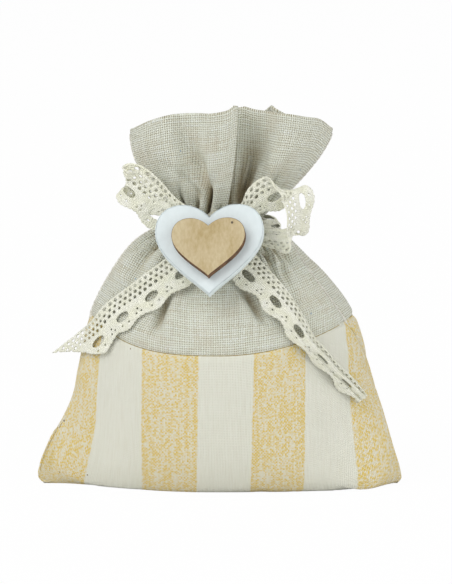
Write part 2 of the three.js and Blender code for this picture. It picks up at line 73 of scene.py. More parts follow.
# Shares of the cloth's length from the bottom fold (0) to the rim (1).
WAIST, NECK = 0.43, 0.76

# Share along the cloth, then shares of half depth and of height, down the middle of the front.
CENTRE_SHARES = [
    (0, 0, 0), (0.05, 0.3, 0), (0.107, 0.62, 0), (0.18, 0.905, 0.07), (0.29, 1, 0.205), (0.43, 0.976, 0.376),
    (0.537, 0.82, 0.49), (0.645, 0.58, 0.605), (0.727, 0.38, 0.69), (0.76, 0.3, 0.722),
]
# Share along the cloth, then half width on the right, height, and half width on the left, at a side seam.
EDGE_SHARES = [
    (0, 0.972, 0, 0.962), (0.022, 0.998, 0.021, 0.997), (0.107, 0.955, 0.1, 0.955), (0.18, 0.9, 0.186, 0.862),
    (0.235, 0.857, 0.245, 0.81), (0.29, 0.826, 0.305, 0.785), (0.43, 0.735, 0.452, 0.711),
    (0.537, 0.598, 0.548, 0.616), (0.645, 0.4, 0.643, 0.472), (0.727, 0.29, 0.694, 0.3),
    (0.76, 0.225, 0.708, 0.225),
]
# Share along the cloth, then the power that rounds the section and the one that lifts a row towards the
# seams, both on the right, then both on the left.
ROUND_SHARES = [
    (0, 0.7, 24, 3.2, 12), (0.107, 0.64, 20, 2.9, 9), (0.18, 0.9, 6, 1.9, 4.5), (0.29, 1.2, 2.6, 1.3, 2.4),
    (0.43, 1.3, 2, 1.3, 2), (0.645, 1.1, 2, 1.1, 2), (0.76, 1, 2, 1, 2),
]
# Broad folds down the back: across and up at the start and at the end, share of half depth, width.
BACK_FOLDS = [
    (-0.4, 0.73, -0.62, 0.44, 0.12, 0.09), (-0.12, 0.73, -0.2, 0.44, 0.13, 0.09),
    (0.17, 0.73, 0.24, 0.44, 0.12, 0.09), (0.46, 0.73, 0.66, 0.44, 0.11, 0.09),
]
# Angle by which the right side seam lies in front of the bag's side, in degrees.
SEAM_TURN = [(0, 0), (0.2, 0), (0.3, 4), (0.37, 13), (0.43, 21), (0.5, 24), (0.58, 23), (0.64, 12), (0.7, 0)]
# The rim: place across the cloth, then shares of half width, of half depth and of height.
FRONT_RIM_SHARES = [
    (-1, -0.489, 0.02, 0.9357), (-0.84, -0.388, 0.25, 0.964), (-0.66, -0.278, 0.33, 0.981),
    (-0.52, -0.199, 0.25, 0.9835), (-0.38, -0.119, 0.29, 0.9853), (-0.24, -0.05, 0.42, 0.988),
    (-0.08, 0.04, 0.481, 0.998), (0.02, 0.084, 0.471, 1.012), (0.08, 0.1, 0.42, 1.0107),
    (0.13, 0.094, 0.27, 1.003), (0.18, 0.09, 0.15, 0.997), (0.26, 0.123, 0.08, 0.998),
    (0.35, 0.179, 0.1, 0.99), (0.44, 0.249, 0.19, 0.988), (0.54, 0.318, 0.34, 0.9865),
    (0.63, 0.388, 0.41, 0.985), (0.74, 0.467, 0.34, 0.977), (0.87, 0.547, 0.19, 0.9665),
    (1, 0.614, 0.02, 0.938),
]
BACK_RIM_SHARES = [
    (-1, -0.489, 0.02, 0.9357), (-0.8, -0.4, 0.09, 0.943), (-0.6, -0.29, 0.16, 0.955),
    (-0.4, -0.18, 0.1, 0.962), (-0.2, -0.07, 0.15, 0.965), (0, 0.05, 0.09, 0.967),
    (0.2, 0.19, 0.12, 0.972), (0.27, 0.255, 0.15, 0.986),
    (0.32, 0.288, 0.16, 0.994), (0.37, 0.32, 0.14, 0.985), (0.45, 0.37, 0.1, 0.97), (0.6, 0.44, 0.14, 0.963),
    (0.8, 0.54, 0.08, 0.953), (1, 0.614, 0.02, 0.938),
]

# Gathers at the neck: place across, depth of the valley in mm, width, how far up and down it reaches.
NECK_GATHERS = {
    FRONT: [
        (-0.93, 2.0, 0.026, 0.86, 0.56), (-0.79, 3.4, 0.03, 0.9, 0.52), (-0.61, 4.4, 0.034, 0.88, 0.45),
        (-0.4, 4.4, 0.034, 0.85, 0.5), (-0.21, 5.0, 0.036, 0.88, 0.46), (-0.02, 2.2, 0.03, 0.79, 0.5),
        (0.17, 5.4, 0.034, 1.08, 0.5), (0.33, 4.6, 0.034, 1.05, 0.46), (0.5, 3.8, 0.03, 0.92, 0.44),
        (0.64, 4.2, 0.03, 0.94, 0.44), (0.78, 3.4, 0.028, 0.88, 0.48), (0.92, 2.0, 0.022, 0.84, 0.56),
    ],
    BACK: [
        (-0.92, 2.0, 0.024, 1.0, 0.6), (-0.77, 3.2, 0.03, 1.1, 0.56), (-0.58, 4.0, 0.03, 1.1, 0.56),
        (-0.4, 4.2, 0.03, 1.2, 0.52), (-0.21, 4.2, 0.03, 1.1, 0.56), (-0.02, 4.4, 0.03, 1.2, 0.52),
        (0.18, 4.0, 0.03, 1.1, 0.56), (0.37, 4.4, 0.03, 1.2, 0.52), (0.56, 4.0, 0.03, 1.1, 0.54),
        (0.74, 3.2, 0.028, 1.1, 0.56), (0.91, 2.0, 0.024, 1.0, 0.6),
    ],
}
# Folds: across and up at the start, across and up at the end, height in mm, width at both ends.
FOLDS = {
    FRONT: [
        (-0.2, 0.785, -0.5, 0.95, -2.8, 0.045, 0.09), (-0.24, 0.78, -0.72, 0.895, -1.1, 0.045, 0.07),
        (-0.21, 0.785, -0.51, 0.885, -1.0, 0.035, 0.05), (-0.55, 0.8, -0.6, 0.93, 0.7, 0.08, 0.12),
        (0.25, 0.78, 0.44, 0.97, -2.8, 0.05, 0.13), (0.3, 0.78, 0.37, 0.86, -0.7, 0.03, 0.04),
        (0.56, 0.79, 0.58, 0.95, 0.8, 0.07, 0.1), (-0.322, 0.56, -0.352, 0.46, -3.1, 0.03, 0.034),
        (-0.27, 0.55, -0.29, 0.47, 0.9, 0.04, 0.05), (0.178, 0.575, 0.25, 0.49, -3.0, 0.03, 0.036),
        (0.12, 0.56, 0.17, 0.49, 0.7, 0.04, 0.05), (0.44, 0.67, 0.8, 0.58, 1.3, 0.035, 0.07),
        (0.39, 0.672, 0.56, 0.628, -1.6, 0.035, 0.04), (0.62, 0.668, 0.86, 0.605, -1.0, 0.05, 0.06),
        (-0.58, 0.675, -0.78, 0.63, -1.2, 0.03, 0.04), (-0.72, 0.64, -0.83, 0.54, 1.0, 0.05, 0.05),
        (-0.75, 0.4, -0.9, 0.15, 0.7, 0.06, 0.08), (0.8, 0.4, 0.93, 0.12, 0.7, 0.05, 0.07),
        (-0.3, 0.38, -0.42, 0.15, 0.5, 0.1, 0.14), (0.35, 0.36, 0.5, 0.1, -0.4, 0.1, 0.14),
    ],
    BACK: [
        (-0.75, 0.4, -0.92, 0.12, 0.7, 0.06, 0.08), (0.78, 0.38, 0.92, 0.14, 0.7, 0.06, 0.08),
        (0.2, 0.34, 0.28, 0.1, 0.5, 0.1, 0.14),
    ],
}

# The lace tails: place across and up the cloth, lift as a share of the width, share of the width.
LEFT_TAIL_SHARES = [
    (-0.1, 0.713, 0, 0.4), (-0.16, 0.678, 0.01, 0.75), (-0.226, 0.644, 0.02, 0.95), (-0.308, 0.606, 0.02, 1),
    (-0.406, 0.568, 0.02, 1), (-0.495, 0.528, 0.02, 1), (-0.565, 0.496, 0.02, 1), (-0.623, 0.461, 0.02, 1),
    (-0.666, 0.422, 0.03, 1), (-0.724, 0.385, 0.07, 1), (-0.815, 0.35, 0.14, 1), (-0.905, 0.316, 0.26, 1),
    (-0.965, 0.288, 0.4, 1),
]
RIGHT_TAIL_SHARES = [
    (0.07, 0.713, 0, 0.4), (0.1, 0.685, 0.01, 0.7), (0.148, 0.657, 0.02, 0.9), (0.215, 0.618, 0.02, 0.95),
    (0.333, 0.561, 0.02, 0.88), (0.402, 0.514, 0.02, 0.82), (0.455, 0.471, 0.02, 0.72),
    (0.497, 0.429, 0.02, 0.6), (0.556, 0.388, 0.02, 0.52), (0.593, 0.346, 0.02, 0.48),
    (0.645, 0.304, 0.02, 0.43), (0.709, 0.256, 0.03, 0.36),
]
# The bow loops: place as shares of half width, half depth and height, direction across, share of width.
LEFT_LOOP_SHARES = [
    (-0.112, -0.54, 0.712, 0.1, 0, 1, 0.4), (-0.22, -0.5, 0.718, 0.3, 0, 1, 0.65),
    (-0.33, -0.49, 0.735, 0.67, 0, 0.74, 0.95), (-0.4, -0.51, 0.765, 0.55, 0, 0.83, 1),
    (-0.47, -0.53, 0.797, 0.35, 0, 0.93, 1), (-0.505, -0.5, 0.813, 0.15, 0, 1, 1),
    (-0.46, -0.455, 0.81, 0.3, 0, 0.95, 1), (-0.356, -0.43, 0.768, 0.55, 0, 0.8, 0.95),
    (-0.24, -0.46, 0.74, 0.3, 0, 0.9, 0.55), (-0.112, -0.495, 0.717, 0.1, 0, 1, 0.35),
]
RIGHT_LOOP_SHARES = [
    (0.108, -0.46, 0.722, -0.3, 0, 1, 0.35), (0.165, -0.46, 0.744, -0.65, 0, 0.75, 0.6),
    (0.22, -0.46, 0.768, -0.85, 0.1, 0.5, 0.9), (0.29, -0.49, 0.787, -0.97, 0.15, 0.2, 1),
    (0.35, -0.56, 0.796, -1, 0.1, 0, 1), (0.41, -0.66, 0.793, -0.95, -0.35, 0, 1),
    (0.432, -0.7, 0.75, -0.72, -0.68, 0, 1), (0.428, -0.7, 0.7, -0.7, -0.7, -0.1, 0.97),
    (0.39, -0.66, 0.67, -0.6, -0.4, -0.6, 0.8), (0.31, -0.58, 0.672, -0.2, 0, -1, 0.62),
    (0.2, -0.54, 0.682, 0, 0.1, -1, 0.5), (0.108, -0.54, 0.702, 0, 0, -1, 0.35),
]

# Curves of half a heart from its point to its cleft: shares of half width and of half length.
HEART_SHARES = [
    (0, -1), (0.2, -0.72), (1, -0.2), (1, 0.4), (1, 0.82), (0.76, 1), (0.5, 1), (0.3, 1), (0.12, 0.88),
    (0, 0.73),
]


# Small helpers


def smooth(value, low, high):
    """Smooth step: 0 below low, 1 above high, 3t2 - 2t3 between them."""
    t = np.clip((value - low) / (high - low), 0, 1)
    return t * t * (3 - 2 * t)


def mix(a, b, share):
    return a + (b - a) * share


def through(table, share):
    """Cubic Hermite curve through the rows of a table, read at an array of shares: the first column holds
    the knots, and each slope is the rise between a row's neighbours over their distance."""
    table = np.asarray(table, float)
    knots, values = table[:, 0], table[:, 1:]
    k = np.arange(len(table))
    before, after = np.maximum(k - 1, 0), np.minimum(k + 1, len(table) - 1)
    slopes = (values[after] - values[before]) / (knots[after] - knots[before])[:, None]
    share = np.asarray(share, float)
    i = np.clip(np.searchsorted(knots, share, side="right") - 1, 0, len(table) - 2)
    span = (knots[i + 1] - knots[i])[..., None]
    t = np.clip((share - knots[i])[..., None] / span, 0, 1)
    t2, t3 = t * t, t * t * t
    rise = (2 * t3 - 3 * t2 + 1) * values[i] + (3 * t2 - 2 * t3) * values[i + 1]
    return rise + span * ((t3 - 2 * t2 + t) * slopes[i] + (t3 - t2) * slopes[i + 1])


def even(table):
    """The same rows with evenly spaced knots put before them."""
    table = np.asarray(table, float)
    return np.column_stack([np.linspace(0, 1, len(table)), table])


def unit(vectors):
    """Vectors over their lengths."""
    return vectors / np.maximum(np.linalg.norm(vectors, axis=-1, keepdims=True), 1e-12)


def lengths_along(line):
    """Length along a line of points up to each of them, in mm."""
    return np.concatenate([[0], np.cumsum(np.linalg.norm(np.diff(line, axis=0), axis=1))])


def boxy(wave, power=0.6):
    """A sine or cosine with its shoulders filled out, by raising its size to a power below 1."""
    return np.sign(wave) * np.abs(wave) ** power


def grid_normals(points):
    """Cross product of the two differences along a grid of points."""
    return unit(np.cross(np.gradient(points, axis=1), np.gradient(points, axis=0)))


def node_box(node):
    """Lowest and highest corner of a CAD node, in mm."""
    return [np.array(corner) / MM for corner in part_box(node)]


def linear(hex_colour):
    """sRGB hex to linear colour: c / 12.92 below 0.04045, else ((c + 0.055) / 1.055) to the power 2.4."""
    channels = [int(hex_colour[k : k + 2], 16) / 255 for k in (0, 2, 4)]
    return tuple(c / 12.92 if c <= 0.04045 else ((c + 0.055) / 1.055) ** 2.4 for c in channels)


# Meshes


def new_mesh(name, points, faces, material, uv=None, slots=None):
    """Mesh object from millimetre points. Its faces are arrays of quads or triangles, uv has one row for each
    point, and slots holds a material index for each face."""
    mesh = bpy.data.meshes.new(name)
    corners = np.concatenate([np.asarray(f, np.int32).ravel() for f in faces])
    sizes = np.concatenate([np.full(len(f), np.shape(f)[1], np.int32) for f in faces])
    mesh.vertices.add(len(points))
    mesh.vertices.foreach_set("co", (np.asarray(points, np.float32) * MM).ravel())
    mesh.loops.add(len(corners))
    mesh.loops.foreach_set("vertex_index", corners)
    mesh.polygons.add(len(sizes))
    mesh.polygons.foreach_set("loop_start", np.concatenate([[0], np.cumsum(sizes)[:-1]]).astype(np.int32))
    mesh.polygons.foreach_set("use_smooth", np.ones(len(sizes), bool))
    for entry in material if isinstance(material, (list, tuple)) else [material]:
        mesh.materials.append(entry)
    if slots is not None:
        mesh.polygons.foreach_set("material_index", np.asarray(slots, np.int32))
    if uv is not None:
        layer = mesh.uv_layers.new(name="cloth_mm")
        layer.data.foreach_set("uv", np.asarray(uv, np.float32)[corners].ravel())
    mesh.update(calc_edges=True)
    mesh.validate()
    piece = bpy.data.objects.new(name, mesh)
    bpy.context.scene.collection.objects.link(piece)
    return piece


def grid_quads(index):
    """Quads between the neighbours in a grid of point numbers."""
    return np.stack([index[:-1, :-1], index[:-1, 1:], index[1:, 1:], index[1:, :-1]], -1).reshape(-1, 4)


def quads(rows, columns, ring=False):
    """Quads of a grid of rows by columns, where ring joins the last row to the first."""
    index = np.arange(rows * columns).reshape(rows, columns)
    return grid_quads(np.concatenate([index, index[:1]]) if ring else index)


def outward_faces(piece):
    """Turns the faces of closed pieces outwards."""
    mesh = bmesh.new()
    mesh.from_mesh(piece.data)
    bmesh.ops.recalc_face_normals(mesh, faces=mesh.faces)
    mesh.to_mesh(piece.data)
    mesh.free()


def tube_faces(rows, around):
    """Faces of a closed tube: quads between its rows of points, and a fan from a pole to each end row. The
    two poles come after the rows."""
    index = np.arange(rows * around).reshape(rows, around)
    index = np.concatenate([index, index[:, :1]], 1)
    first = np.column_stack([np.full(around, rows * around), index[0, 1:], index[0, :-1]])
    last = np.column_stack([np.full(around, rows * around + 1), index[-1, :-1], index[-1, 1:]])
    return grid_quads(index), np.concatenate([first, last])


def tube(name, points, finish, poles=None, slots=None):
    """Closed tube from sections, a grid of rows along by points round, with a fan on each end. A pole is the
    mean of its end row unless it is given."""
    if poles is None:
        poles = points[[0, -1]].mean(1)
    everything = np.concatenate([points.reshape(-1, 3), poles])
    piece = new_mesh(name, everything, tube_faces(*points.shape[:2]), finish, slots=slots)
    outward_faces(piece)
    return piece


def cloth_shell(name, outer, inner, uv, sunk, material):
    """Closed sheet of cloth: the outer grid, a rounded edge, the inner grid backwards and a second rounded
    edge make one ring of rows, and strips close its two ends. Each edge arc is the half circle between the
    two faces, drawn out along the cloth. Each point also keeps how deep it lies in a fold, which sets the
    painted shade in folds."""
    turns = np.radians([45, 90, 135])

    def arc(a, b, ahead):
        middle, half = (a + b) / 2, (a - b) / 2
        reach = np.linalg.norm(half, axis=-1, keepdims=True) * ahead
        return np.stack([middle + half * math.cos(t) + reach * math.sin(t) for t in turns])

    def wrapped(face):
        """A face's values for each point of the ring: on it, on the edge, backwards and on the edge."""
        return np.concatenate([face, np.repeat(face[-1:], 3, 0), face[::-1], np.repeat(face[:1], 3, 0)])

    top = arc(outer[-1], inner[-1], unit(outer[-1] - outer[-2]))
    bottom = arc(inner[0], outer[0], unit(outer[0] - outer[1]))
    rows = np.concatenate([outer, top, inner[::-1], bottom])
    count, columns = rows.shape[:2]
    n = len(outer)
    caps, ends = [], []
    for column, turn in ((0, 1), (columns - 1, -1)):
        a = np.arange(n - 1)
        b = 2 * n + 2 - a
        strip = np.column_stack([a, a + 1, b - 1, b]) * columns + column
        caps.append(strip[:, ::-turn])
        for pole in (np.arange(n - 1, n + 4), np.append(np.arange(2 * n + 2, 2 * n + 6), 0)):
            ends.append((pole * columns + column)[::turn])
    faces = [quads(count, columns, ring=True), *caps, np.array(ends)]
    piece = new_mesh(name, rows.reshape(-1, 3), faces, material, wrapped(uv).reshape(-1, 2))
    layer = piece.data.attributes.new("sunk", "FLOAT", "POINT")
    layer.data.foreach_set("value", wrapped(sunk).ravel().astype(np.float32))
    return piece


# Shape of the cloth


class Cloth:
    """The pouch's cloth as a surface of three values: side (front or back), across (-1 at the left seam, 1
    at the right one) and up (share of the cloth's length from the bottom fold to the rim)."""

    def __init__(self, sizes):
        self.half_width = sizes.width / MM / 2
        self.half_depth = sizes.depth / MM / 2
        self.height = sizes.height / MM
        self.length = sizes.cloth_length / MM
        self.thickness = sizes.cloth_thickness / MM
        self.slot = 0.34
        self.settled = {}

    def bag(self, side, across, up):
        """Filled bag: q = sin(angle) runs along the width, the depth falls off from the middle as a power of
        the cosine, and a row climbs from its middle height to its seam height as a power of q. The angle is
        90 degrees at a seam, and more on the back and less on the front where the seam lies further forward.
        On the left the row stays low for longer near the waist."""
        forward = through(SEAM_TURN, up)[..., 0] * smooth(across, 0.2, 1)
        angle = np.radians(across * 90 + side * forward)
        q = np.sin(angle)
        centre, edge, bend = (through(table, up) for table in (CENTRE_SHARES, EDGE_SHARES, ROUND_SHARES))
        left = smooth(-across, -0.15, 0.3)
        bulge = np.sign(np.cos(angle)) * np.abs(np.cos(angle)) ** mix(bend[..., 0], bend[..., 2], left)
        width = np.where(across < 0, edge[..., 2], edge[..., 0]) * self.half_width
        depth = np.maximum(centre[..., 0] * self.half_depth * (1 if side == FRONT else 0.96) - self.slot, 0)
        reach = np.abs(q)
        late = (across < 0) * (1 - smooth(reach, 0.75, 0.96)) * np.exp(-(((up - WAIST) / 0.12) ** 2))
        climb = reach ** (mix(bend[..., 1], bend[..., 3], left) + 1.6 * late)
        rise = mix(np.maximum(centre[..., 1], 0), edge[..., 1], climb) * self.height
        z = np.maximum(0, rise - 0.3 * (1 - smooth(up, 0.1, 0.2)))
        swell = np.zeros(np.shape(q))
        if side == BACK:
            for a0, up0, a1, up1, height, spread in BACK_FOLDS:
                t = np.clip((up - up0) / (up1 - up0), 0, 1)
                bell = np.exp(-(((across - mix(a0, a1, t)) / spread) ** 2))
                swell = swell + height * self.half_depth * np.sin(np.pi * t) * bell
        y = side * (self.slot * np.minimum(1, up / 0.02) + depth * bulge + swell)
        return np.stack([q * width, y, z], -1)

    def frill(self, side, across, up):
        """Open frill: each point runs from the neck to the rim, and flares out as 1 - (1 - rise)^2."""
        rise = (up - NECK) / (1 - NECK)
        flare = 1 - (1 - rise) ** (2 - 0.58 * np.maximum(across, 0))
        neck = self.bag(side, across, np.full_like(up, NECK))
        rim = through(FRONT_RIM_SHARES if side == FRONT else BACK_RIM_SHARES, across)
        x = mix(neck[..., 0], rim[..., 0] * self.half_width, flare)
        y = mix(np.abs(neck[..., 1]), self.slot + rim[..., 1] * self.half_depth, flare)
        return np.stack([x, side * y, mix(neck[..., 2], rim[..., 2] * self.height, rise)], -1)

    def plain(self, side, across, up):
        """The bag below the neck and the frill above it, without folds."""
        across, up = np.broadcast_arrays(np.asarray(across, float), np.asarray(up, float))
        low = self.bag(side, across, np.minimum(up, NECK))
        high = self.frill(side, across, np.maximum(up, NECK))
        return np.where((up <= NECK)[..., None], low, high)

    def folds(self, side, across, up):
        """Height of the folds in mm: narrow valleys where the neck gathers the cloth, each faded up and down,
        and bell curves across the cloth that follow a line from start to end and fade out along it."""
        height = np.zeros(np.broadcast(across, up).shape)
        room = np.sqrt(np.maximum(np.cos(across * np.pi / 2), 0))
        for place, depth, width, top, low in NECK_GATHERS[side]:
            fade = np.where(up > NECK, 1 - smooth(up, NECK, top), 1 - smooth(-up, -NECK + 0.02, -low))
            spread = width * (1 + 4 * np.abs(up - NECK))
            height = height - depth * room * fade**1.3 * np.exp(-(((across - place) / spread) ** 2))
        for a0, up0, a1, up1, rise, w0, w1 in FOLDS[side]:
            t = (up - up0) / (up1 - up0)
            line, width = mix(a0, a1, t), mix(w0, w1, np.clip(t, 0, 1))
            fade = smooth(t, -0.25, 0.2) * (1 - smooth(t, 0.5, 1.15))
            height = height + rise * fade * np.exp(-(((across - line) / width) ** 2))
        return height * smooth(1 - np.abs(across), 0, 0.12)

    def surface(self, side, across, up):
        """The plain cloth, moved by the settling of the simulated cloth, then lifted along its normal by its
        folds."""
        across, up = np.broadcast_arrays(np.asarray(across, float), np.asarray(up, float))
        step = 0.004
        low, high = np.clip(up - step, 0, 1), np.clip(up + step, 0, 1)
        left, right = np.clip(across - step, -1, 1), np.clip(across + step, -1, 1)
        along = self.plain(side, across, high) - self.plain(side, across, low)
        aside = self.plain(side, right, up) - self.plain(side, left, up)
        normal = unit(np.cross(aside, along)) * -side
        points = self.plain(side, across, up) + normal * self.folds(side, across, up)[..., None]
        if side in self.settled:
            points = points + sample(self.settled[side], (across + 1) / 2, up)
        points[..., 2] = np.maximum(points[..., 2], 0)
        return points


def sample(field, across, up):
    """Values of a grid of rows (up) by columns (across) between its points, bilinear in both ways."""
    rows, columns = field.shape[:2]
    i, j = np.clip(up, 0, 1) * (rows - 1), np.clip(across, 0, 1) * (columns - 1)
    i0, j0 = np.minimum(i.astype(int), rows - 2), np.minimum(j.astype(int), columns - 2)
    a, b = (i - i0)[..., None], (j - j0)[..., None]
    low = mix(field[i0, j0], field[i0, j0 + 1], b)
    high = mix(field[i0 + 1, j0], field[i0 + 1, j0 + 1], b)
    return mix(low, high, a)


def measured_across(points, columns):
    """Length along each row from its middle column, in mm."""
    steps = np.linalg.norm(np.diff(points, axis=1), axis=-1)
    length = np.concatenate([np.zeros((len(points), 1)), np.cumsum(steps, 1)], 1)
    return length - length[:, columns // 2 : columns // 2 + 1]


# Lace


# The lace, in mm: length of a scallop, width, and length of a picot.
LACE_PERIOD, LACE_WIDTH = 10.2, 10.6
PICOT = LACE_PERIOD / 8
# Mesh holes: pitch, half sizes, then each row's distance from the straight edge and shift in pitches.
MESH_PITCH, MESH_HOLE, MESH_ROWS = LACE_PERIOD / 5.5, (0.5, 0.41), ((1.15, 0.0), (2.45, 0.5), (3.75, 0.0))
# The long eyelet: distance from the straight edge and half sizes. Pinholes: place in a scallop, half sizes.
EYELET_PLACE, EYELET = 6.4, (2.05, 0.98)
PINHOLES, PINHOLE = ((0.0, 6.9), (-0.75, 8.0), (0.75, 8.0), (3.9, 8.7), (-3.9, 8.7)), (0.24, 0.22)
# A length past the end of every ribbon, for one whose eyelets all stay open.
ALWAYS_OPEN = 1000.0
# A lace mesh: length of its cells, their number across, and how much wider than the lace its grid is.
LACE_STEP, LACE_COLUMNS, LACE_MARGIN = 0.19, 56, 0.5


def lace_field(u, v, shut=ALWAYS_OPEN):
    """Depth inside the lace in mm, above 0 in thread: a band between a nearly straight edge and a scalloped
    one with picots, less three staggered rows of mesh holes, one long eyelet in each scallop and pinholes.
    u runs along the lace and v across it from the straight edge. Beyond shut the eyelets are pulled nearly
    closed."""
    wave = np.cos(2 * np.pi * (u - LACE_PERIOD / 2) / LACE_PERIOD)
    picots = np.abs(np.sin(np.pi * u / PICOT))
    depth = np.minimum(v - (0.12 - 0.12 * picots), 9.8 + 0.62 * wave + 0.22 * picots - v)

    def hole(cu, cv, ru, rv, power, period):
        du = (np.mod(u - cu + period / 2, period) - period / 2) / ru
        dv = (v - cv) / rv
        return ((np.abs(du) ** power + np.abs(dv) ** power) ** (1 / power) - 1) * np.minimum(ru, rv)

    for row, shift in MESH_ROWS:
        slack = 0.88 + 0.12 * np.sin(2 * np.pi * u / 17 + 1.3 * row)
        sizes = MESH_HOLE[0] * slack, MESH_HOLE[1] * slack
        depth = np.minimum(depth, hole(shift * MESH_PITCH, row, *sizes, 1.8, MESH_PITCH))
    ragged = EYELET_PLACE + 0.16 * np.abs(np.sin(np.pi * u / 0.85)) * (v > EYELET_PLACE)
    sizes = EYELET[0], EYELET[1] * (1 - 0.72 * smooth(u, shut, shut + 4))
    depth = np.minimum(depth, hole(LACE_PERIOD / 2, ragged, *sizes, 2.2, LACE_PERIOD))
    for cu, cv in PINHOLES:
        depth = np.minimum(depth, hole(cu, cv, *PINHOLE, 2, LACE_PERIOD))
    return depth


def lace_relief(u, v, depth):
    """Half thickness of the lace in mm: a round profile at the edges, plump threads round the holes, and the
    small waves of crossing threads."""
    t = np.clip(depth / 0.3, 0, 1)
    round_profile = np.sqrt(np.maximum(1 - (1 - t) ** 2, 0))
    plump = np.exp(-(((depth - 0.3) / 0.16) ** 2))
    ply = np.sin(2 * np.pi * (u + v) / 0.8) * np.sin(2 * np.pi * (u - v) / 0.8)
    return round_profile * (0.15 + 0.06 * plump + 0.03 * ply)


def lace_strip(name, surface, material, flip=False, start=0.0, slant=0.0, shut=ALWAYS_OPEN):
    """Closed lace mesh over a ribbon surface, a grid of rows along by columns across. A fine grid keeps the
    cells inside the threads, its border points move onto the thread's edge along the slope of the depth, and
    both faces share them. A slant cuts the end back by that many mm for each mm across. Gives back the piece,
    its length and its area in thread."""
    along = lengths_along(surface.mean(1))
    total = along[-1]
    nu, nv = max(8, int(total / LACE_STEP)), LACE_COLUMNS
    step_u, step_v = total / nu, (LACE_WIDTH + LACE_MARGIN) / nv
    u, v = np.meshgrid(np.arange(nu + 1) * step_u, np.arange(nv + 1) * step_v, indexing="ij")

    def inside_lace(at_u, at_v):
        cut = (total - slant * at_v - at_u) / math.sqrt(1 + slant**2) if slant else np.inf
        return np.minimum(lace_field(at_u + start, at_v, shut), cut)

    kept = inside_lace(u[:-1, :-1] + step_u / 2, v[:-1, :-1] + step_v / 2) > 0
    padded = np.zeros((nu + 2, nv + 2), bool)
    padded[1:-1, 1:-1] = kept
    around = np.stack([padded[:-1, :-1], padded[1:, :-1], padded[:-1, 1:], padded[1:, 1:]])
    used, inside = around.any(0), around.all(0)
    border = used & ~inside
    d = 0.02
    for _ in range(3):
        depth = inside_lace(u, v)
        du = (inside_lace(u + d, v) - inside_lace(u - d, v)) / (2 * d)
        dv = (inside_lace(u, v + d) - inside_lace(u, v - d)) / (2 * d)
        pull = np.clip(-depth / np.maximum(du**2 + dv**2, 0.2), -0.14, 0.14) * 0.7
        move = border & (u > step_u / 2) & (u < total - step_u / 2)
        u = np.where(move, np.clip(u + pull * du, 0, total), u)
        v = np.where(border, v + pull * dv, v)
    lift = np.where(border, 0, lace_relief(u + start, v, inside_lace(u, v)))
    ends = np.minimum(u, total - u)
    lift = lift * np.clip(ends / 0.3, 0, 1) ** 0.5
    share_v = 1 - v / LACE_WIDTH if flip else v / LACE_WIDTH
    share_u = np.interp(u, along, np.linspace(0, 1, len(surface)))
    middle = sample(surface, share_v, share_u)
    normals = unit(sample(grid_normals(surface), share_v, share_u)) * (-1 if flip else 1)
    top, bottom = middle + normals * lift[..., None], middle - normals * lift[..., None]
    index = np.full(used.shape, -1)
    index[used] = np.arange(used.sum())
    under = index.copy()
    under[inside] = used.sum() + np.arange(inside.sum())
    i, j = np.nonzero(kept)
    upper, lower = (
        np.column_stack([table[i, j], table[i + 1, j], table[i + 1, j + 1], table[i, j + 1]])
        for table in (index, under)
    )
    uv = np.stack([u + start, v], -1)
    points, uv = (np.concatenate([a[used], b[inside]]) for a, b in ((top, bottom), (uv, uv)))
    piece = new_mesh(name, points, [upper[:, ::-1], lower], material, uv)
    return piece, total, float(kept.mean()) * total * (LACE_WIDTH + LACE_MARGIN)


def curled(centre, aside, normal, width, columns=17, pleats=0.0, highest=2.6):
    """Ribbon surface from its middle line: a strip narrower than the lace arches up as a parabola of the same
    length across, but no higher than the highest, and pleats add a wave of that height."""
    t = np.linspace(-0.5, 0.5, columns)
    chord = LACE_WIDTH * width
    arch = np.minimum(chord * np.sqrt(np.maximum(0.375 * (1 / np.maximum(width, 0.3) - 1), 0)), highest)
    lift = arch[:, None] * (1 - 4 * t**2) + pleats * (1 - width)[:, None] * np.cos(6 * np.pi * t)
    return (
        centre[:, None]
        + aside[:, None] * (chord[:, None] * t)[..., None]
        + normal[:, None] * lift[..., None]
    )


def cloth_tree(names):
    """Search tree over the finished cloth pieces, in mm."""
    points, faces, offset = [], [], 0
    for name in names:
        mesh = bpy.data.objects[name].data
        co = np.empty(len(mesh.vertices) * 3, np.float32)
        mesh.vertices.foreach_get("co", co)
        points.append(co.reshape(-1, 3) / MM)
        faces += [[offset + v for v in polygon.vertices] for polygon in mesh.polygons]
        offset += len(mesh.vertices)
    return BVHTree.FromPolygons(np.concatenate(points).tolist(), faces)


def laid_on(tree, surface, gap):
    """The ribbon surface pushed out of the cloth: from each point a ray runs back along the normal, and the
    point is lifted where it lies less than the gap above what the ray meets. The lift is smoothed along and
    across the ribbon."""
    normals = grid_normals(surface)
    if normals[..., 1].mean() > 0:
        normals = -normals
    lift = np.zeros(surface.shape[:2])
    above, reach = 8, 14
    for i, j in np.ndindex(lift.shape):
        start = surface[i, j] + normals[i, j] * above
        place, _, _, distance = tree.ray_cast(start.tolist(), (-normals[i, j]).tolist(), reach)
        if place is not None:
            lift[i, j] = max(0.0, above + gap - distance)
    wide = lift
    for axis in (0, 1):
        wide = np.maximum.reduce([wide, np.roll(wide, 1, axis), np.roll(wide, -1, axis)])
    for _ in range(4):
        for axis in (0, 1):
            edge = np.pad(wide, [(1, 1) if k == axis else (0, 0) for k in (0, 1)], mode="edge")
            before, here, after = (edge.take(np.arange(wide.shape[axis]) + k, axis) for k in (0, 1, 2))
            wide = (before + 2 * here + after) / 4
    return surface + normals * wide[..., None]


# Materials


MATHS, VECTORS, RANGE = "ShaderNodeMath", "ShaderNodeVectorMath", "ShaderNodeMapRange"
NOISE, RAMP, MIX = "ShaderNodeTexNoise", "ShaderNodeValToRGB", "ShaderNodeMix"

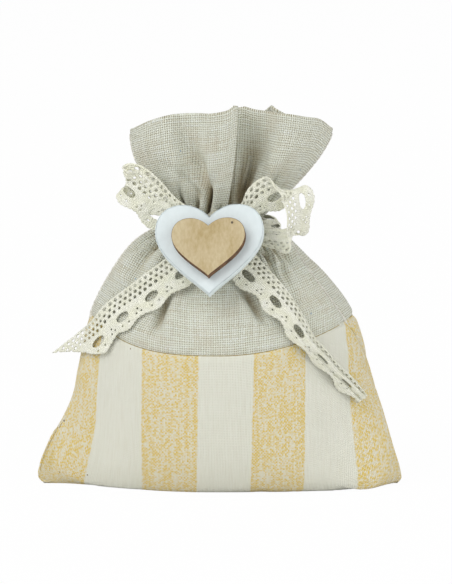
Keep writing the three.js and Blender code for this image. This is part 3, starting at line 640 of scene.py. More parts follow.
# Distance between threads, in mm.
LINEN_PITCH, COTTON_PITCH = 0.64, 0.42
# The stripes, in mm: distance from one to the next, middle of an unprinted one, raggedness of the edges.
STRIPE_REPEAT, STRIPE_SHIFT, STRIPE_RAGGED = 29.7, 0.65, 0.9


def rgba(colour):
    """Linear colour with full alpha, from sRGB hex or from a linear colour."""
    return (*(linear(colour) if isinstance(colour, str) else colour[:3]), 1)


def add(tree, kind, inputs=None, stops=(), **settings):
    """Adds a node with its settings, fills or links its inputs, gives a colour ramp its stops of place and
    colour, and gives back the first output in use."""
    new = tree.nodes.new(kind)
    for name, value in settings.items():
        setattr(new, name, value)
    for key, value in (inputs or {}).items():
        socket = new.inputs[key]
        if isinstance(value, bpy.types.NodeSocket):
            tree.links.new(value, socket)
        else:
            socket.default_value = rgba(value) if socket.type == "RGBA" else value
    if stops:
        elements = new.color_ramp.elements
        while len(elements) < len(stops):
            elements.new(0.5)
        for element, (place, colour) in zip(elements, stops):
            element.position = place
            element.color = rgba(colour)
    return next((socket for socket in new.outputs if socket.enabled), None)


def material(name, colour, roughness, **values):
    """A material with its Principled shader, whose own sockets hold the values that don't vary."""
    made = bpy.data.materials.new(name)
    made.use_nodes = True
    made.diffuse_color = rgba(colour)
    shader = made.node_tree.nodes["Principled BSDF"]
    shader.inputs["Base Color"].default_value = rgba(colour)
    shader.inputs["Roughness"].default_value = roughness
    for key, value in values.items():
        shader.inputs[key.replace("_", " ").title().replace("Ior", "IOR")].default_value = value
    return made, made.node_tree, shader


def finished(made, tree, shader, shade, height=None, depth=0.0):
    """The material with its colour, and with a bump of a depth in metres over a height from 0 to 1."""
    tree.links.new(shade, shader.inputs["Base Color"])
    if height is not None:
        bump = add(tree, "ShaderNodeBump", {"Height": height, "Strength": 1.0, "Distance": depth})
        tree.links.new(bump, shader.inputs["Normal"])
    return made


def stained(tree, shade, *stains):
    """A colour with stains laid over it one after another, each a share and a colour."""
    for share, colour in stains:
        shade = add(tree, MIX, {0: share, 6: shade, 7: colour}, data_type="RGBA")
    return shade


def specks(tree, uv, scale, rarity, radius):
    """Sparse dots: a point in each cell of a Voronoi texture, kept where the cell's random value is high."""
    cells = add(tree, "ShaderNodeTexVoronoi", {"Vector": uv, "Scale": scale})
    near = add(tree, RANGE, {0: cells, 1: radius * scale * 0.6, 2: radius * scale, 3: 1.0, 4: 0.0})
    pick = add(tree, "ShaderNodeSeparateColor", {0: cells.node.outputs["Color"]})
    pick = add(tree, MATHS, {0: pick, 1: rarity}, operation="GREATER_THAN")
    return add(tree, MATHS, {0: near, 1: pick}, operation="MULTIPLY")


def weave(tree, pitch, wander, gap_from):
    """Plain weave over the cloth's own UV in mm: thread counts across and along, wandering by a little noise,
    the height of the thread on top in each cell of a chequer, and the open corners between the threads."""
    uv = add(tree, "ShaderNodeUVMap", uv_map="cloth_mm")
    drift = add(tree, NOISE, {"Vector": uv, "Scale": 0.1, "Detail": 2.0}).node.outputs["Color"]
    drift = add(tree, VECTORS, {0: drift, 1: (0.5, 0.5, 0.5)}, operation="SUBTRACT")
    drift = add(tree, VECTORS, {0: drift, "Scale": wander}, operation="SCALE")
    moved = add(tree, VECTORS, {0: uv, 1: drift}, operation="ADD")
    counts = add(tree, VECTORS, {0: moved, "Scale": 1 / pitch}, operation="SCALE")
    across = add(tree, "ShaderNodeSeparateXYZ", {0: counts})
    along = across.node.outputs[1]
    slubs, profiles, gaps = [], [], []
    for count, squeeze in ((across, (1.1, 0.07, 1)), (along, (0.07, 1.1, 1))):
        stretched = add(tree, VECTORS, {0: counts, 1: squeeze}, operation="MULTIPLY")
        slubs.append(add(tree, NOISE, {"Vector": stretched, "Scale": 1.0, "Detail": 2.0}))
        cell = add(tree, MATHS, {0: count}, operation="FRACT")
        off = add(tree, MATHS, {0: cell, 1: 0.5}, operation="SUBTRACT")
        off = add(tree, MATHS, {0: off}, operation="ABSOLUTE")
        thick = add(tree, MATHS, {0: slubs[-1], 1: 0.2, 2: 0.36}, operation="MULTIPLY_ADD")
        share = add(tree, MATHS, {0: off, 1: thick}, operation="DIVIDE")
        square = add(tree, MATHS, {0: share, 1: share}, operation="MULTIPLY")
        profiles.append(add(tree, MATHS, {0: 1.0, 1: square}, operation="SUBTRACT", use_clamp=True))
        gaps.append(add(tree, RANGE, {0: share, 1: gap_from, 2: 1.05}, interpolation_type="SMOOTHSTEP"))
    whole = [add(tree, MATHS, {0: count}, operation="FLOOR") for count in (across, along)]
    both = add(tree, MATHS, {0: whole[0], 1: whole[1]}, operation="ADD")
    odd = add(tree, MATHS, {0: both, 1: 2.0}, operation="FLOORED_MODULO")
    odd = add(tree, MATHS, {0: odd, 1: 0.5}, operation="GREATER_THAN")
    on_top = add(tree, MIX, {0: odd, 2: profiles[0], 3: profiles[1]})
    under = add(tree, MIX, {0: odd, 2: profiles[1], 3: profiles[0]})
    height = add(tree, MATHS, {0: on_top, 1: 0.65}, operation="MULTIPLY")
    height = add(tree, MATHS, {0: under, 1: 0.35, 2: height}, operation="MULTIPLY_ADD")
    gap = add(tree, MATHS, {0: gaps[0], 1: gaps[1]}, operation="MULTIPLY")
    found = {"uv": uv, "slubs": slubs, "height": height, "gap": gap, "odd": odd}
    return {**found, "thread": whole[0], "along": along}


def linen_material(colours):
    """Natural linen, plain woven from slubby threads: matt, pale threads with painted tan shade where they
    dip and in the gaps between them, a few dark flecks of stalk, and painted tan shade in the deep folds, by
    how deep the cloth lies in them."""
    made, tree, shader = material("linen_plain_weave_natural", colours.linen, 0.92, sheen_weight=0.15)
    cloth = weave(tree, LINEN_PITCH, 0.9, 0.45)
    uv = cloth["uv"]
    upright, level = (
        add(tree, RAMP, {"Fac": slub}, [(0.3, dark), (0.5, colours.linen), (0.7, pale)])
        for slub, dark, pale in zip(cloth["slubs"], ("d3d2c0", "d1cebb"), ("e7eae0", "e5e9e3"))
    )
    # Painted shade where the threads dip below their neighbours, and in the open gaps between them.
    low = add(tree, RANGE, {0: cloth["height"], 1: 0.0, 2: 0.7, 3: 0.52, 4: 0.0})
    # Painted tan shade in the deep folds, by how deep the cloth lies in them.
    sunk = add(tree, "ShaderNodeAttribute", attribute_name="sunk").node.outputs["Fac"]
    sunk = add(tree, MATHS, {0: sunk, 1: 0.6}, operation="MULTIPLY")
    blush = add(tree, NOISE, {"Vector": uv, "Scale": 0.12, "Detail": 2.0})
    blush = add(tree, RANGE, {0: blush, 1: 0.5, 2: 0.75, 3: 0.0, 4: 0.22})
    shade = stained(
        tree, upright, (cloth["odd"], level), (low, "a59a7c"), (cloth["gap"], "877c5e"), (sunk, "a88f5c"),
        (blush, "c9b79c"), (specks(tree, uv, 0.15, 0.8, 0.36), "332a20"),
        (specks(tree, uv, 0.3, 0.9, 0.35), "9fb0bd"),
    )
    return finished(made, tree, shader, shade, cloth["height"], 0.0002)


def cotton_material(colours):
    """Cream cotton, plain woven, with stripes half a repeat wide in which mottled mustard ink shows in broken
    dashes along the upright threads, and more where they pass over the level ones."""
    made, tree, shader = material("cotton_plain_weave_striped", colours.cotton, 0.9, sheen_weight=0.12)
    cloth = weave(tree, COTTON_PITCH, 0.5, 0.6)
    uv = cloth["uv"]
    place = add(tree, "ShaderNodeSeparateXYZ", {0: uv})
    ragged = add(tree, NOISE, {"Vector": uv, "Scale": 0.9, "Detail": 3.0})
    place = add(tree, MATHS, {0: ragged, 1: STRIPE_RAGGED, 2: place}, operation="MULTIPLY_ADD")
    shift = -(STRIPE_SHIFT + STRIPE_RAGGED / 2) / STRIPE_REPEAT
    turn = add(tree, MATHS, {0: place, 1: 1 / STRIPE_REPEAT, 2: shift}, operation="MULTIPLY_ADD")
    turn = add(tree, MATHS, {0: turn}, operation="FRACT")
    turn = add(tree, MATHS, {0: turn, 1: 0.5}, operation="SUBTRACT")
    turn = add(tree, MATHS, {0: turn}, operation="ABSOLUTE")
    soft = {"interpolation_type": "SMOOTHSTEP"}
    stripe = add(tree, RANGE, {0: turn, 1: 0.247, 2: 0.261, 3: 1.0, 4: 0.0}, **soft)
    border = add(tree, RANGE, {0: turn, 1: 0.19, 2: 0.24, 3: 0.0, 4: 0.06})
    thread = add(tree, "ShaderNodeCombineXYZ", {0: cloth["thread"], 1: cloth["along"]})
    thread = add(tree, VECTORS, {0: thread, 1: (3.71, 0.74, 1)}, operation="MULTIPLY")
    dashes = add(tree, NOISE, {"Vector": thread, "Scale": 1.0, "Detail": 1.5})
    streaks = add(tree, VECTORS, {0: uv, 1: (0.9, 0.13, 1)}, operation="MULTIPLY")
    streaks = add(tree, NOISE, {"Vector": streaks, "Scale": 1.0, "Detail": 3.0, "Roughness": 0.6})
    amount = add(tree, MATHS, {0: streaks, 1: 0.5, 2: dashes}, operation="MULTIPLY_ADD")
    amount = add(tree, MATHS, {0: amount, 1: border}, operation="ADD")
    flecks = add(tree, RANGE, {0: amount, 1: 0.63, 2: 0.86, 3: 0.08, 4: 1.0}, **soft)
    over = add(tree, RANGE, {0: cloth["odd"], 3: 1.0, 4: 0.55})
    ink = add(tree, MATHS, {0: flecks, 1: over}, operation="MULTIPLY")
    ink = add(tree, MATHS, {0: ink, 1: stripe}, operation="MULTIPLY")
    under_ink = add(tree, MATHS, {0: stripe, 1: 0.35}, operation="MULTIPLY")
    # Painted shade in the open gaps between the threads.
    gap_shade = add(tree, MATHS, {0: cloth["gap"], 1: 0.3}, operation="MULTIPLY")
    stops = [(0.3, "e1e0d1"), (0.5, colours.cotton), (0.7, "e6e6d9")]
    cream = add(tree, RAMP, {"Fac": cloth["slubs"][0]}, stops)
    shade = stained(
        tree, cream, (under_ink, "e3d8c0"), (ink, colours.stripe), (gap_shade, "b9b295"),
        (specks(tree, uv, 0.28, 0.8, 0.24), "7e6a48"), (specks(tree, uv, 0.21, 0.86, 0.3), "5f4c30"),
    )
    return finished(made, tree, shader, shade, cloth["height"], 0.00012)


def lace_material(colours):
    """Bobbin lace of soft cotton thread, unbleached: matt, with its plies crossing, and painted shade in the
    dips between them.
    """
    made, tree, shader = material("cotton_lace_unbleached", colours.lace, 0.88, sheen_weight=0.2)
    uv = add(tree, "ShaderNodeUVMap", uv_map="cloth_mm")
    tone = add(tree, NOISE, {"Vector": uv, "Scale": 0.35, "Detail": 3.0})
    shade = add(tree, RAMP, {"Fac": tone}, [(0.35, "f3f3de"), (0.55, colours.lace), (0.75, "fbfbf0")])
    wander = add(tree, NOISE, {"Vector": uv, "Scale": 0.9, "Detail": 1.0})
    strands = []
    for turn in ((1.0, 1.0, 0.0), (1.0, -1.0, 0.0)):
        lean = add(tree, VECTORS, {0: uv, 1: turn}, operation="DOT_PRODUCT")
        lean = add(tree, MATHS, {0: wander, 1: 0.8, 2: lean}, operation="MULTIPLY_ADD")
        lean = add(tree, MATHS, {0: lean, 1: 6.0}, operation="MULTIPLY")
        strands.append(add(tree, MATHS, {0: lean}, operation="SINE"))
    ply = add(tree, MATHS, {0: strands[0], 1: strands[1]}, operation="MULTIPLY")
    # Painted shade where the crossing plies dip.
    low = add(tree, RANGE, {0: ply, 1: -1.0, 2: 0.3, 3: 0.3, 4: 0.0})
    fluff = add(tree, NOISE, {"Vector": uv, "Scale": 3.5, "Detail": 3.0})
    height = add(tree, MATHS, {0: ply, 1: 0.5, 2: fluff}, operation="MULTIPLY_ADD")
    return finished(made, tree, shader, stained(tree, shade, (low, "cfcbae")), height, 0.0002)


def birch_material(colours):
    """Sanded birch plywood, bare: pale face with fine upright grain and a small dark fleck."""
    made, tree, shader = material("birch_plywood_bare", colours.birch, 0.68)
    place = add(tree, "ShaderNodeTexCoord").node.outputs["Object"]
    stretched = add(tree, VECTORS, {0: place, 1: (1500, 1500, 95)}, operation="MULTIPLY")
    grain = add(tree, NOISE, {"Vector": stretched, "Scale": 1.0, "Detail": 5.0, "Roughness": 0.6})
    broad = add(tree, VECTORS, {0: place, 1: (260, 260, 30)}, operation="MULTIPLY")
    figure = add(tree, NOISE, {"Vector": broad, "Scale": 1.0, "Detail": 3.0})
    both = add(tree, MATHS, {0: grain, 1: figure}, operation="ADD")
    both = add(tree, MATHS, {0: both, 1: 0.5}, operation="MULTIPLY")
    shade = add(tree, RAMP, {"Fac": both}, [(0.34, "ad9869"), (0.5, colours.birch), (0.64, "c8b994")])
    face = add(tree, VECTORS, {0: place, 1: (1.0, 0.0, 1.0)}, operation="MULTIPLY")
    off = add(tree, VECTORS, {0: face, 1: (0.0033, 0.0, 0.0763)}, operation="DISTANCE")
    fleck = add(tree, RANGE, {0: off, 1: 0.00025, 2: 0.0004, 3: 0.9, 4: 0.0})
    return finished(made, tree, shader, stained(tree, shade, (fleck, "2a1c12")), grain, 0.00003)


def mottled(name, base, roughness, stops, scale, detail, depth=0.0, stretch=None, **values):
    """A material whose colour, and bump where it has a depth, follow one noise over Object coordinates."""
    made, tree, shader = material(name, base, roughness, **values)
    place = add(tree, "ShaderNodeTexCoord").node.outputs["Object"]
    if stretch:
        place = add(tree, VECTORS, {0: place, 1: stretch}, operation="MULTIPLY")
    grain = add(tree, NOISE, {"Vector": place, "Scale": scale, "Detail": detail})
    shade = add(tree, RAMP, {"Fac": grain}, stops)
    return finished(made, tree, shader, shade, grain if depth else None, depth)


def paint_material(colours):
    """Thin water-based paint on wood, bluish white: satin, with faint brush and grain marks under it."""
    stops = [(0.3, "d9e3e4"), (0.6, colours.paint), (0.8, "e0e9ea")]
    return mottled("wood_paint_bluish_white", colours.paint, 0.5, stops, 1.0, 4.0, 0.00004, (900, 900, 160))


def burnt_material():
    """Edge of plywood cut by laser: charred, an uneven dark brown."""
    stops = [(0.3, "3b2515"), (0.7, "7a5532")]
    return mottled("birch_plywood_laser_cut_edge", "5a3b22", 0.8, stops, 700.0, 3.0)


def thread_material(name, low, high):
    """Spun sewing thread: matt, with ply that shows as fine light and dark."""
    return mottled(name, high, 0.85, [(0.35, low), (0.65, high)], 2200.0, 2.0, 0.00005)


def lavender_material(colours):
    """Dried lavender buds: dusty grey violet that fades to straw."""
    stops = [(0.3, "4c4266"), (0.55, colours.lavender), (0.75, "9c8f7a")]
    return mottled("lavender_buds_dried", colours.lavender, 0.9, stops, 420.0, 3.0, 0.0002)


def glue_material():
    """Set hot-melt glue: cloudy, soft gloss."""
    stops = [(0.3, "e2dcc8"), (0.7, "f2efe4")]
    values = {"transmission_weight": 0.85, "ior": 1.48}
    return mottled("hot_melt_glue", "e9e2cd", 0.3, stops, 500.0, 2.0, 0.00005, **values)


# Settings


def size_setting(name, default, description):
    """A setting in metres."""
    return bpy.props.FloatProperty(name=name, description=description, default=default, unit="LENGTH")


def colour_setting(name, default, description):
    """A colour setting, from sRGB hex."""
    values = {"default": linear(default), "subtype": "COLOR", "min": 0, "max": 1}
    return bpy.props.FloatVectorProperty(name=name, description=description, **values)


class SachetSizes(bpy.types.PropertyGroup):
    """Sizes of the pouch, in metres."""

    width: size_setting("Width", 0.1006, "Width of the cloth along the bottom fold")
    depth: size_setting("Depth", 0.042, "Depth of the filled belly")
    height: size_setting("Height", 0.105, "Height that the cloth's shares are measured by")
    cloth_length: size_setting("Cloth length", 0.121, "Length of cloth from the bottom fold to the rim")
    cloth_thickness: size_setting("Cloth thickness", 0.0008, "Thickness of a cloth wall with its lining fold")
    stitch_length: size_setting("Stitch length", 0.0022, "Length of one sewn stitch")


class SachetColours(bpy.types.PropertyGroup):
    """Base colours, linear."""

    linen: colour_setting("Linen", "dee1d2", "Natural linen thread")
    cotton: colour_setting("Cotton", "e4e4d6", "Unprinted cream cotton")
    stripe: colour_setting("Stripe", "dfc25a", "Mustard printing ink")
    lace: colour_setting("Lace", "f8f8e8", "Unbleached cotton thread")
    paint: colour_setting("Paint", "dde7e8", "Bluish-white paint of the large heart")
    birch: colour_setting("Birch", "bdab85", "Bare face of the small heart")
    lavender: colour_setting("Lavender", "6f6492", "Dried lavender buds")


# Operators


# Flat sizes of the cut cloth, in metres.
FLAT_LINEN, FLAT_COTTON = (0.1006, 0.069), (0.1006, 0.104)
# Half of the seam between linen and cotton, as a share of the cloth's length.
HALF_SEAM = 0.0012
# What each point of the cloth moved while it settled, in mm, for each side.
SETTLED = {}
# The settling bag: times life size, last frame, rows and columns, and how many mm a point may move.
SETTLE_SCALE, SETTLE_FRAMES, SETTLE_GRID, SETTLE_CAP = 10, 24, (121, 97), 2.4
SETTLE_VALUES = {
    "quality": 6, "mass": 0.2, "tension_stiffness": 25, "compression_stiffness": 25, "shear_stiffness": 8,
    "bending_stiffness": 0.12, "vertex_group_mass": "hold", "pin_stiffness": 3, "vertex_group_shrink": "grow",
    "shrink_min": 0.0, "shrink_max": -0.07, "use_pressure": True, "uniform_pressure_force": 1.2,
}


def shared_cloth(context):
    """The cloth surface, moved as it settled."""
    cloth = Cloth(context.scene.sachet_sizes)
    cloth.settled = SETTLED
    return cloth


def stands_in(piece, node, body):
    """Puts a piece in the place of a CAD node, on its body."""
    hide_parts(node)
    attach(piece, body)


def settle_cloth(cloth):
    """Lets the filled bag settle with Blender's cloth: one closed bag of both sides grows a little in its
    flat size, the filling presses from inside, and the neck and rim hold. What each point moved, up to a cap,
    is kept for the fine meshes."""
    rows, columns = SETTLE_GRID
    across, up = np.meshgrid(np.linspace(-1, 1, columns), np.linspace(0, 1, rows))
    front, back = (cloth.surface(side, across, up) for side in (FRONT, BACK))
    front[:, [0, -1]] = (front[:, [0, -1]] + back[:, [0, -1]]) / 2
    front[0, :, 1] = 0
    index_front = np.arange(rows * columns).reshape(rows, columns)
    index_back = index_front.copy()
    index_back[1:, 1:-1] = rows * columns + np.arange((rows - 1) * (columns - 2)).reshape(rows - 1, -1)
    points = np.concatenate([front.reshape(-1, 3), back[1:, 1:-1].reshape(-1, 3)])
    faces = np.concatenate([grid_quads(index_front), grid_quads(index_back)[:, ::-1]])
    bag = new_mesh("settling_bag", points, [faces], [])
    bag.data.transform(Matrix.Diagonal((SETTLE_SCALE, SETTLE_SCALE, SETTLE_SCALE, 1)))
    heights, edges = np.empty(len(points)), np.empty(len(points))
    for index in (index_back, index_front):
        heights[index] = up
        edges[index] = np.abs(across)
    hold = np.clip(smooth(heights, 0.6, 0.74) + (1 - smooth(heights, 0.015, 0.05)) * 0.6, 0.06, 1)
    hold = np.where(heights > 0.8, mix(1, 0.5, smooth(heights, 0.8, 0.92)), hold)
    growth = smooth(heights, 0.02, 0.1) * (1 - smooth(heights, 0.66, 0.74)) * (0.6 + 0.4 * edges**3)
    for name, weights in (("hold", hold), ("grow", growth)):
        group = bag.vertex_groups.new(name=name)
        for k, weight in enumerate(weights.tolist()):
            group.add([k], weight, "REPLACE")
    modifier = bag.modifiers.new("settle", "CLOTH")
    for name, value in SETTLE_VALUES.items():
        setattr(modifier.settings, name, value)
    modifier.settings.effector_weights.gravity = 0
    modifier.point_cache.frame_start = 1
    modifier.point_cache.frame_end = SETTLE_FRAMES
    scene = bpy.context.scene
    for step in range(1, SETTLE_FRAMES + 1):
        scene.frame_set(step)
    evaluated = bag.evaluated_get(bpy.context.evaluated_depsgraph_get())
    moved = np.empty(len(points) * 3, np.float32)
    evaluated.data.vertices.foreach_get("co", moved)
    moved = moved.reshape(-1, 3) / MM / SETTLE_SCALE - points
    size = np.linalg.norm(moved, axis=1, keepdims=True)
    moved = moved * np.minimum(1, SETTLE_CAP / np.maximum(size, 1e-6))
    scene.frame_set(1)
    bpy.data.objects.remove(bag)
    return {FRONT: moved[index_front], BACK: moved[index_back]}


# The camera: place in metres, tilt in degrees, lens and height of the film in mm.
CAMERA_PLACE, CAMERA_TILT, CAMERA_LENS, FILM_HEIGHT = (0.00166, -1.4681, 0.3124), 80, 335, 36
# The lamps: name, place and size in metres, power in watts. All point at the middle of the pouch.
LAMPS = (
    ("key", (-0.66, -0.66, 0.85), 1.0, 8.9),
    ("fill", (0.95, -0.5, 0.4), 1.1, 5.6),
    ("back", (0.1, 0.8, 0.7), 0.8, 1.6),
)
LAMPS_AIM = (0, 0, 0.05)
# The floor's rings, in mm, and the points round each.
FLOOR_RADII, FLOOR_POINTS = (0.01, 60, 200, 600, 2000), 65


class SACHET_OT_stage(bpy.types.Operator):
    """Sets up the floor, the soft lights and the camera at the photograph's angle"""

    bl_idname = "sachet.stage"
    bl_label = "Stage and Camera"

    def execute(self, context):
        camera = bpy.data.cameras.new("camera")
        camera.sensor_fit = "VERTICAL"
        camera.sensor_height = FILM_HEIGHT
        camera.lens = CAMERA_LENS
        camera.clip_end = 50
        view = self.placed("camera", camera, CAMERA_PLACE, (math.radians(CAMERA_TILT), 0, 0))
        context.scene.camera = view
        self.floor()
        for name, place, size, power in LAMPS:
            lamp = bpy.data.lights.new(name, "AREA")
            lamp.shape = "SQUARE"
            lamp.size = size
            lamp.energy = power
            aim = np.array(LAMPS_AIM) - np.array(place)
            tilt = math.atan2(math.hypot(aim[0], aim[1]), -aim[2])
            self.placed(name, lamp, place, (tilt, 0, math.atan2(aim[1], aim[0]) - math.pi / 2))
        world = bpy.data.worlds.new("studio")
        world.use_nodes = True
        context.scene.world = world
        tree = world.node_tree
        rays = add(tree, "ShaderNodeLightPath").node.outputs
        seen = add(tree, MATHS, {0: rays["Is Camera Ray"], 1: rays["Is Glossy Ray"]}, operation="MAXIMUM")
        seen = add(tree, MATHS, {0: seen, 1: rays["Is Transmission Ray"]}, operation="MAXIMUM")
        strength = add(tree, RANGE, {0: seen, 3: 0.4, 4: 1.0})
        background = tree.nodes["Background"]
        background.inputs["Color"].default_value = (1, 1, 1, 1)
        tree.links.new(strength, background.inputs["Strength"])
        context.scene.view_settings.view_transform = "Standard"
        return {"FINISHED"}

    def placed(self, name, data, place, turn):
        """An object for the camera or a lamp, put in its place and turned."""
        holder = bpy.data.objects.new(name, data)
        holder.location = place
        holder.rotation_euler = turn
        bpy.context.scene.collection.objects.link(holder)
        return holder

    def floor(self):
        """A wide pale disc under the pouch, worked out as rings of growing radius."""
        turn = np.linspace(0, 2 * np.pi, FLOOR_POINTS)
        round_x, round_y = (np.outer(FLOOR_RADII, wave(turn)) for wave in (np.cos, np.sin))
        rings = np.stack([round_x, round_y, np.full(round_x.shape, -0.05)], -1)
        made, tree, shader = material("studio_floor_white", (0.9, 0.9, 0.9), 0.9)
        rays = add(tree, "ShaderNodeLightPath").node.outputs
        glow = add(tree, "ShaderNodeEmission", {"Color": (1, 1, 1), "Strength": 1.0})
        share = add(tree, MATHS, {0: rays["Is Camera Ray"], 1: 0.97}, operation="MULTIPLY")
        blend = add(tree, "ShaderNodeMixShader", {0: share, 1: shader.outputs[0], 2: glow})
        tree.links.new(blend, tree.nodes["Material Output"].inputs["Surface"])
        new_mesh("floor", rings.reshape(-1, 3), [quads(len(FLOOR_RADII), FLOOR_POINTS)], made)


class SACHET_OT_cloth(bpy.types.Operator):
    """Sews the linen and the striped cotton panels over the filling"""

    bl_idname = "sachet.cloth"
    bl_label = "Cloth Panels"

    def execute(self, context):
        colours = context.scene.sachet_colours
        SETTLED.update(settle_cloth(Cloth(context.scene.sachet_sizes)))
        cloth = shared_cloth(context)
        linen, cotton = linen_material(colours), cotton_material(colours)
        across = np.sin(np.linspace(-1, 1, 261) * np.pi / 2) * 0.35 + np.linspace(-1, 1, 261) * 0.65
        up = np.linspace(WAIST + HALF_SEAM, 1, 150)
        for side, name in ((FRONT, "linen_front"), (BACK, "linen_back")):
            piece = self.panel(cloth, name, [(side, value) for value in up], across, linen)
            stands_in(piece, f"{name}_panel", "pouch")
        climb = np.append(np.linspace(0.0015, 0.02, 4)[:-1], np.linspace(0.02, WAIST - HALF_SEAM, 88))
        rows = [(BACK, value) for value in climb[::-1]] + [(FRONT, 0.0)] + [(FRONT, value) for value in climb]
        piece = self.panel(cloth, "striped_cotton", rows, across, cotton)
        stands_in(piece, "striped_panel", "pouch")
        return {"FINISHED"}

    def panel(self, cloth, name, rows, across, finish):
        """A panel's outer face is the cloth surface, its waist edge dips into the seam, and its inner face
        lies one thickness behind it, less in the pleat and more in the hem. Its UV is the length across and
        up in mm, and sunk says how far a point lies below 1.2 mm deep in a fold, which sets how much
        painted shade the linen gets there."""
        sides, up = np.array(rows).T
        grid_across, grid_up = np.meshgrid(across, up)
        outer = np.empty(grid_across.shape + (3,))
        sunk = np.zeros(grid_across.shape)
        for side in (FRONT, BACK):
            pick = sides == side
            if pick.any():
                outer[pick] = cloth.surface(side, grid_across[pick], grid_up[pick])
                # How deep a point lies in a fold, which sets the painted tan shade in folds.
                sunk[pick] = np.clip((-1.2 - cloth.folds(side, grid_across[pick], grid_up[pick])) / 2.5, 0, 1)
        sunk = sunk * (1 - 0.55 * smooth(up, 0.82, 0.88))[:, None]
        away = grid_normals(outer)
        if (away[len(up) // 3, :, 1] * sides[len(up) // 3]).mean() < 0:
            away = -away
        near_waist = np.exp(-((np.abs(up - WAIST) * cloth.length / 0.9) ** 2)) * 0.55
        near_seam = np.exp(-(((1 - np.abs(across)) / 0.02) ** 2)) * 0.25
        outer = outer - away * (near_waist[:, None] + near_seam[None])[..., None]
        pleat = np.exp(-(((across - 0.14) / 0.1) ** 2)) * smooth(up, 0.7, 0.76)[:, None]
        thickness = mix(cloth.thickness, 0.5, smooth(up, 0.6, 0.7))[:, None] * mix(1, 0.5, pleat)
        hem = 0.5 * smooth(up, 0.9, 0.93)[:, None] * (thickness > 0.45)
        inner = outer - away * (thickness + hem)[..., None]
        inner[..., 2] = np.maximum(inner[..., 2], 0.25)
        v = np.broadcast_to((-sides * up * cloth.length)[:, None], grid_up.shape)
        u = self.threads(outer, across, up)
        return cloth_shell(name, outer, inner, np.stack([u, v], -1), sunk, finish)

    def threads(self, outer, across, up):
        """Thread line across: the length along the row in the belly, drawn in to the flat cloth's half width
        where the row swells and leaning a little with the pull of the filling. Above it, the length at the
        row where the gathers start, then at the rim, so that threads run together into the neck."""
        own = measured_across(outer, len(across))
        if up.max() < 0.6:
            half = FLAT_COTTON[0] / MM / 2
            ends = np.maximum(np.abs(own[:, [0, -1]]), half)
            end = np.where(own < 0, ends[:, :1], ends[:, 1:])
            free = np.where(own < 0, 24, 33)
            drawn_in = free + (np.abs(own) - free) * (half - free) / (end - free)
            own = np.sign(own) * np.minimum(np.abs(own), drawn_in)
            rise = (up / WAIST)[:, None]
            high = mix(-0.2, 1.4, smooth(own, -24, 6)) * rise
            low = 3.4 * smooth(own, 14, 36) * (1 - rise) ** 2.2
            return own - high + low + 0.9 * smooth(-own, 24, 34) * np.sin(np.pi * rise)
        shoulder = own[np.argmin(np.abs(up - 0.56))]
        above = smooth(up, NECK - 0.02, NECK + 0.02)[:, None]
        gathered = mix(shoulder[None], own[-1:], above)
        return mix(own, gathered, smooth(up, 0.5, 0.6)[:, None])


# The filling: rows and points round of its core, how much of the bag's width, depth and height the core
# takes, and how many buds lie on it. A bud: stations along its half length, with shares of its half width.
FILL_ROWS, FILL_AROUND, FILL_SHARES, BUDS = 40, 48, (0.84, 0.72, 1.0), 1500
BUD_STATIONS, BUD_AROUND = ((-0.92, 0.35), (-0.45, 0.95), (0.25, 1.0), (0.85, 0.55)), 6


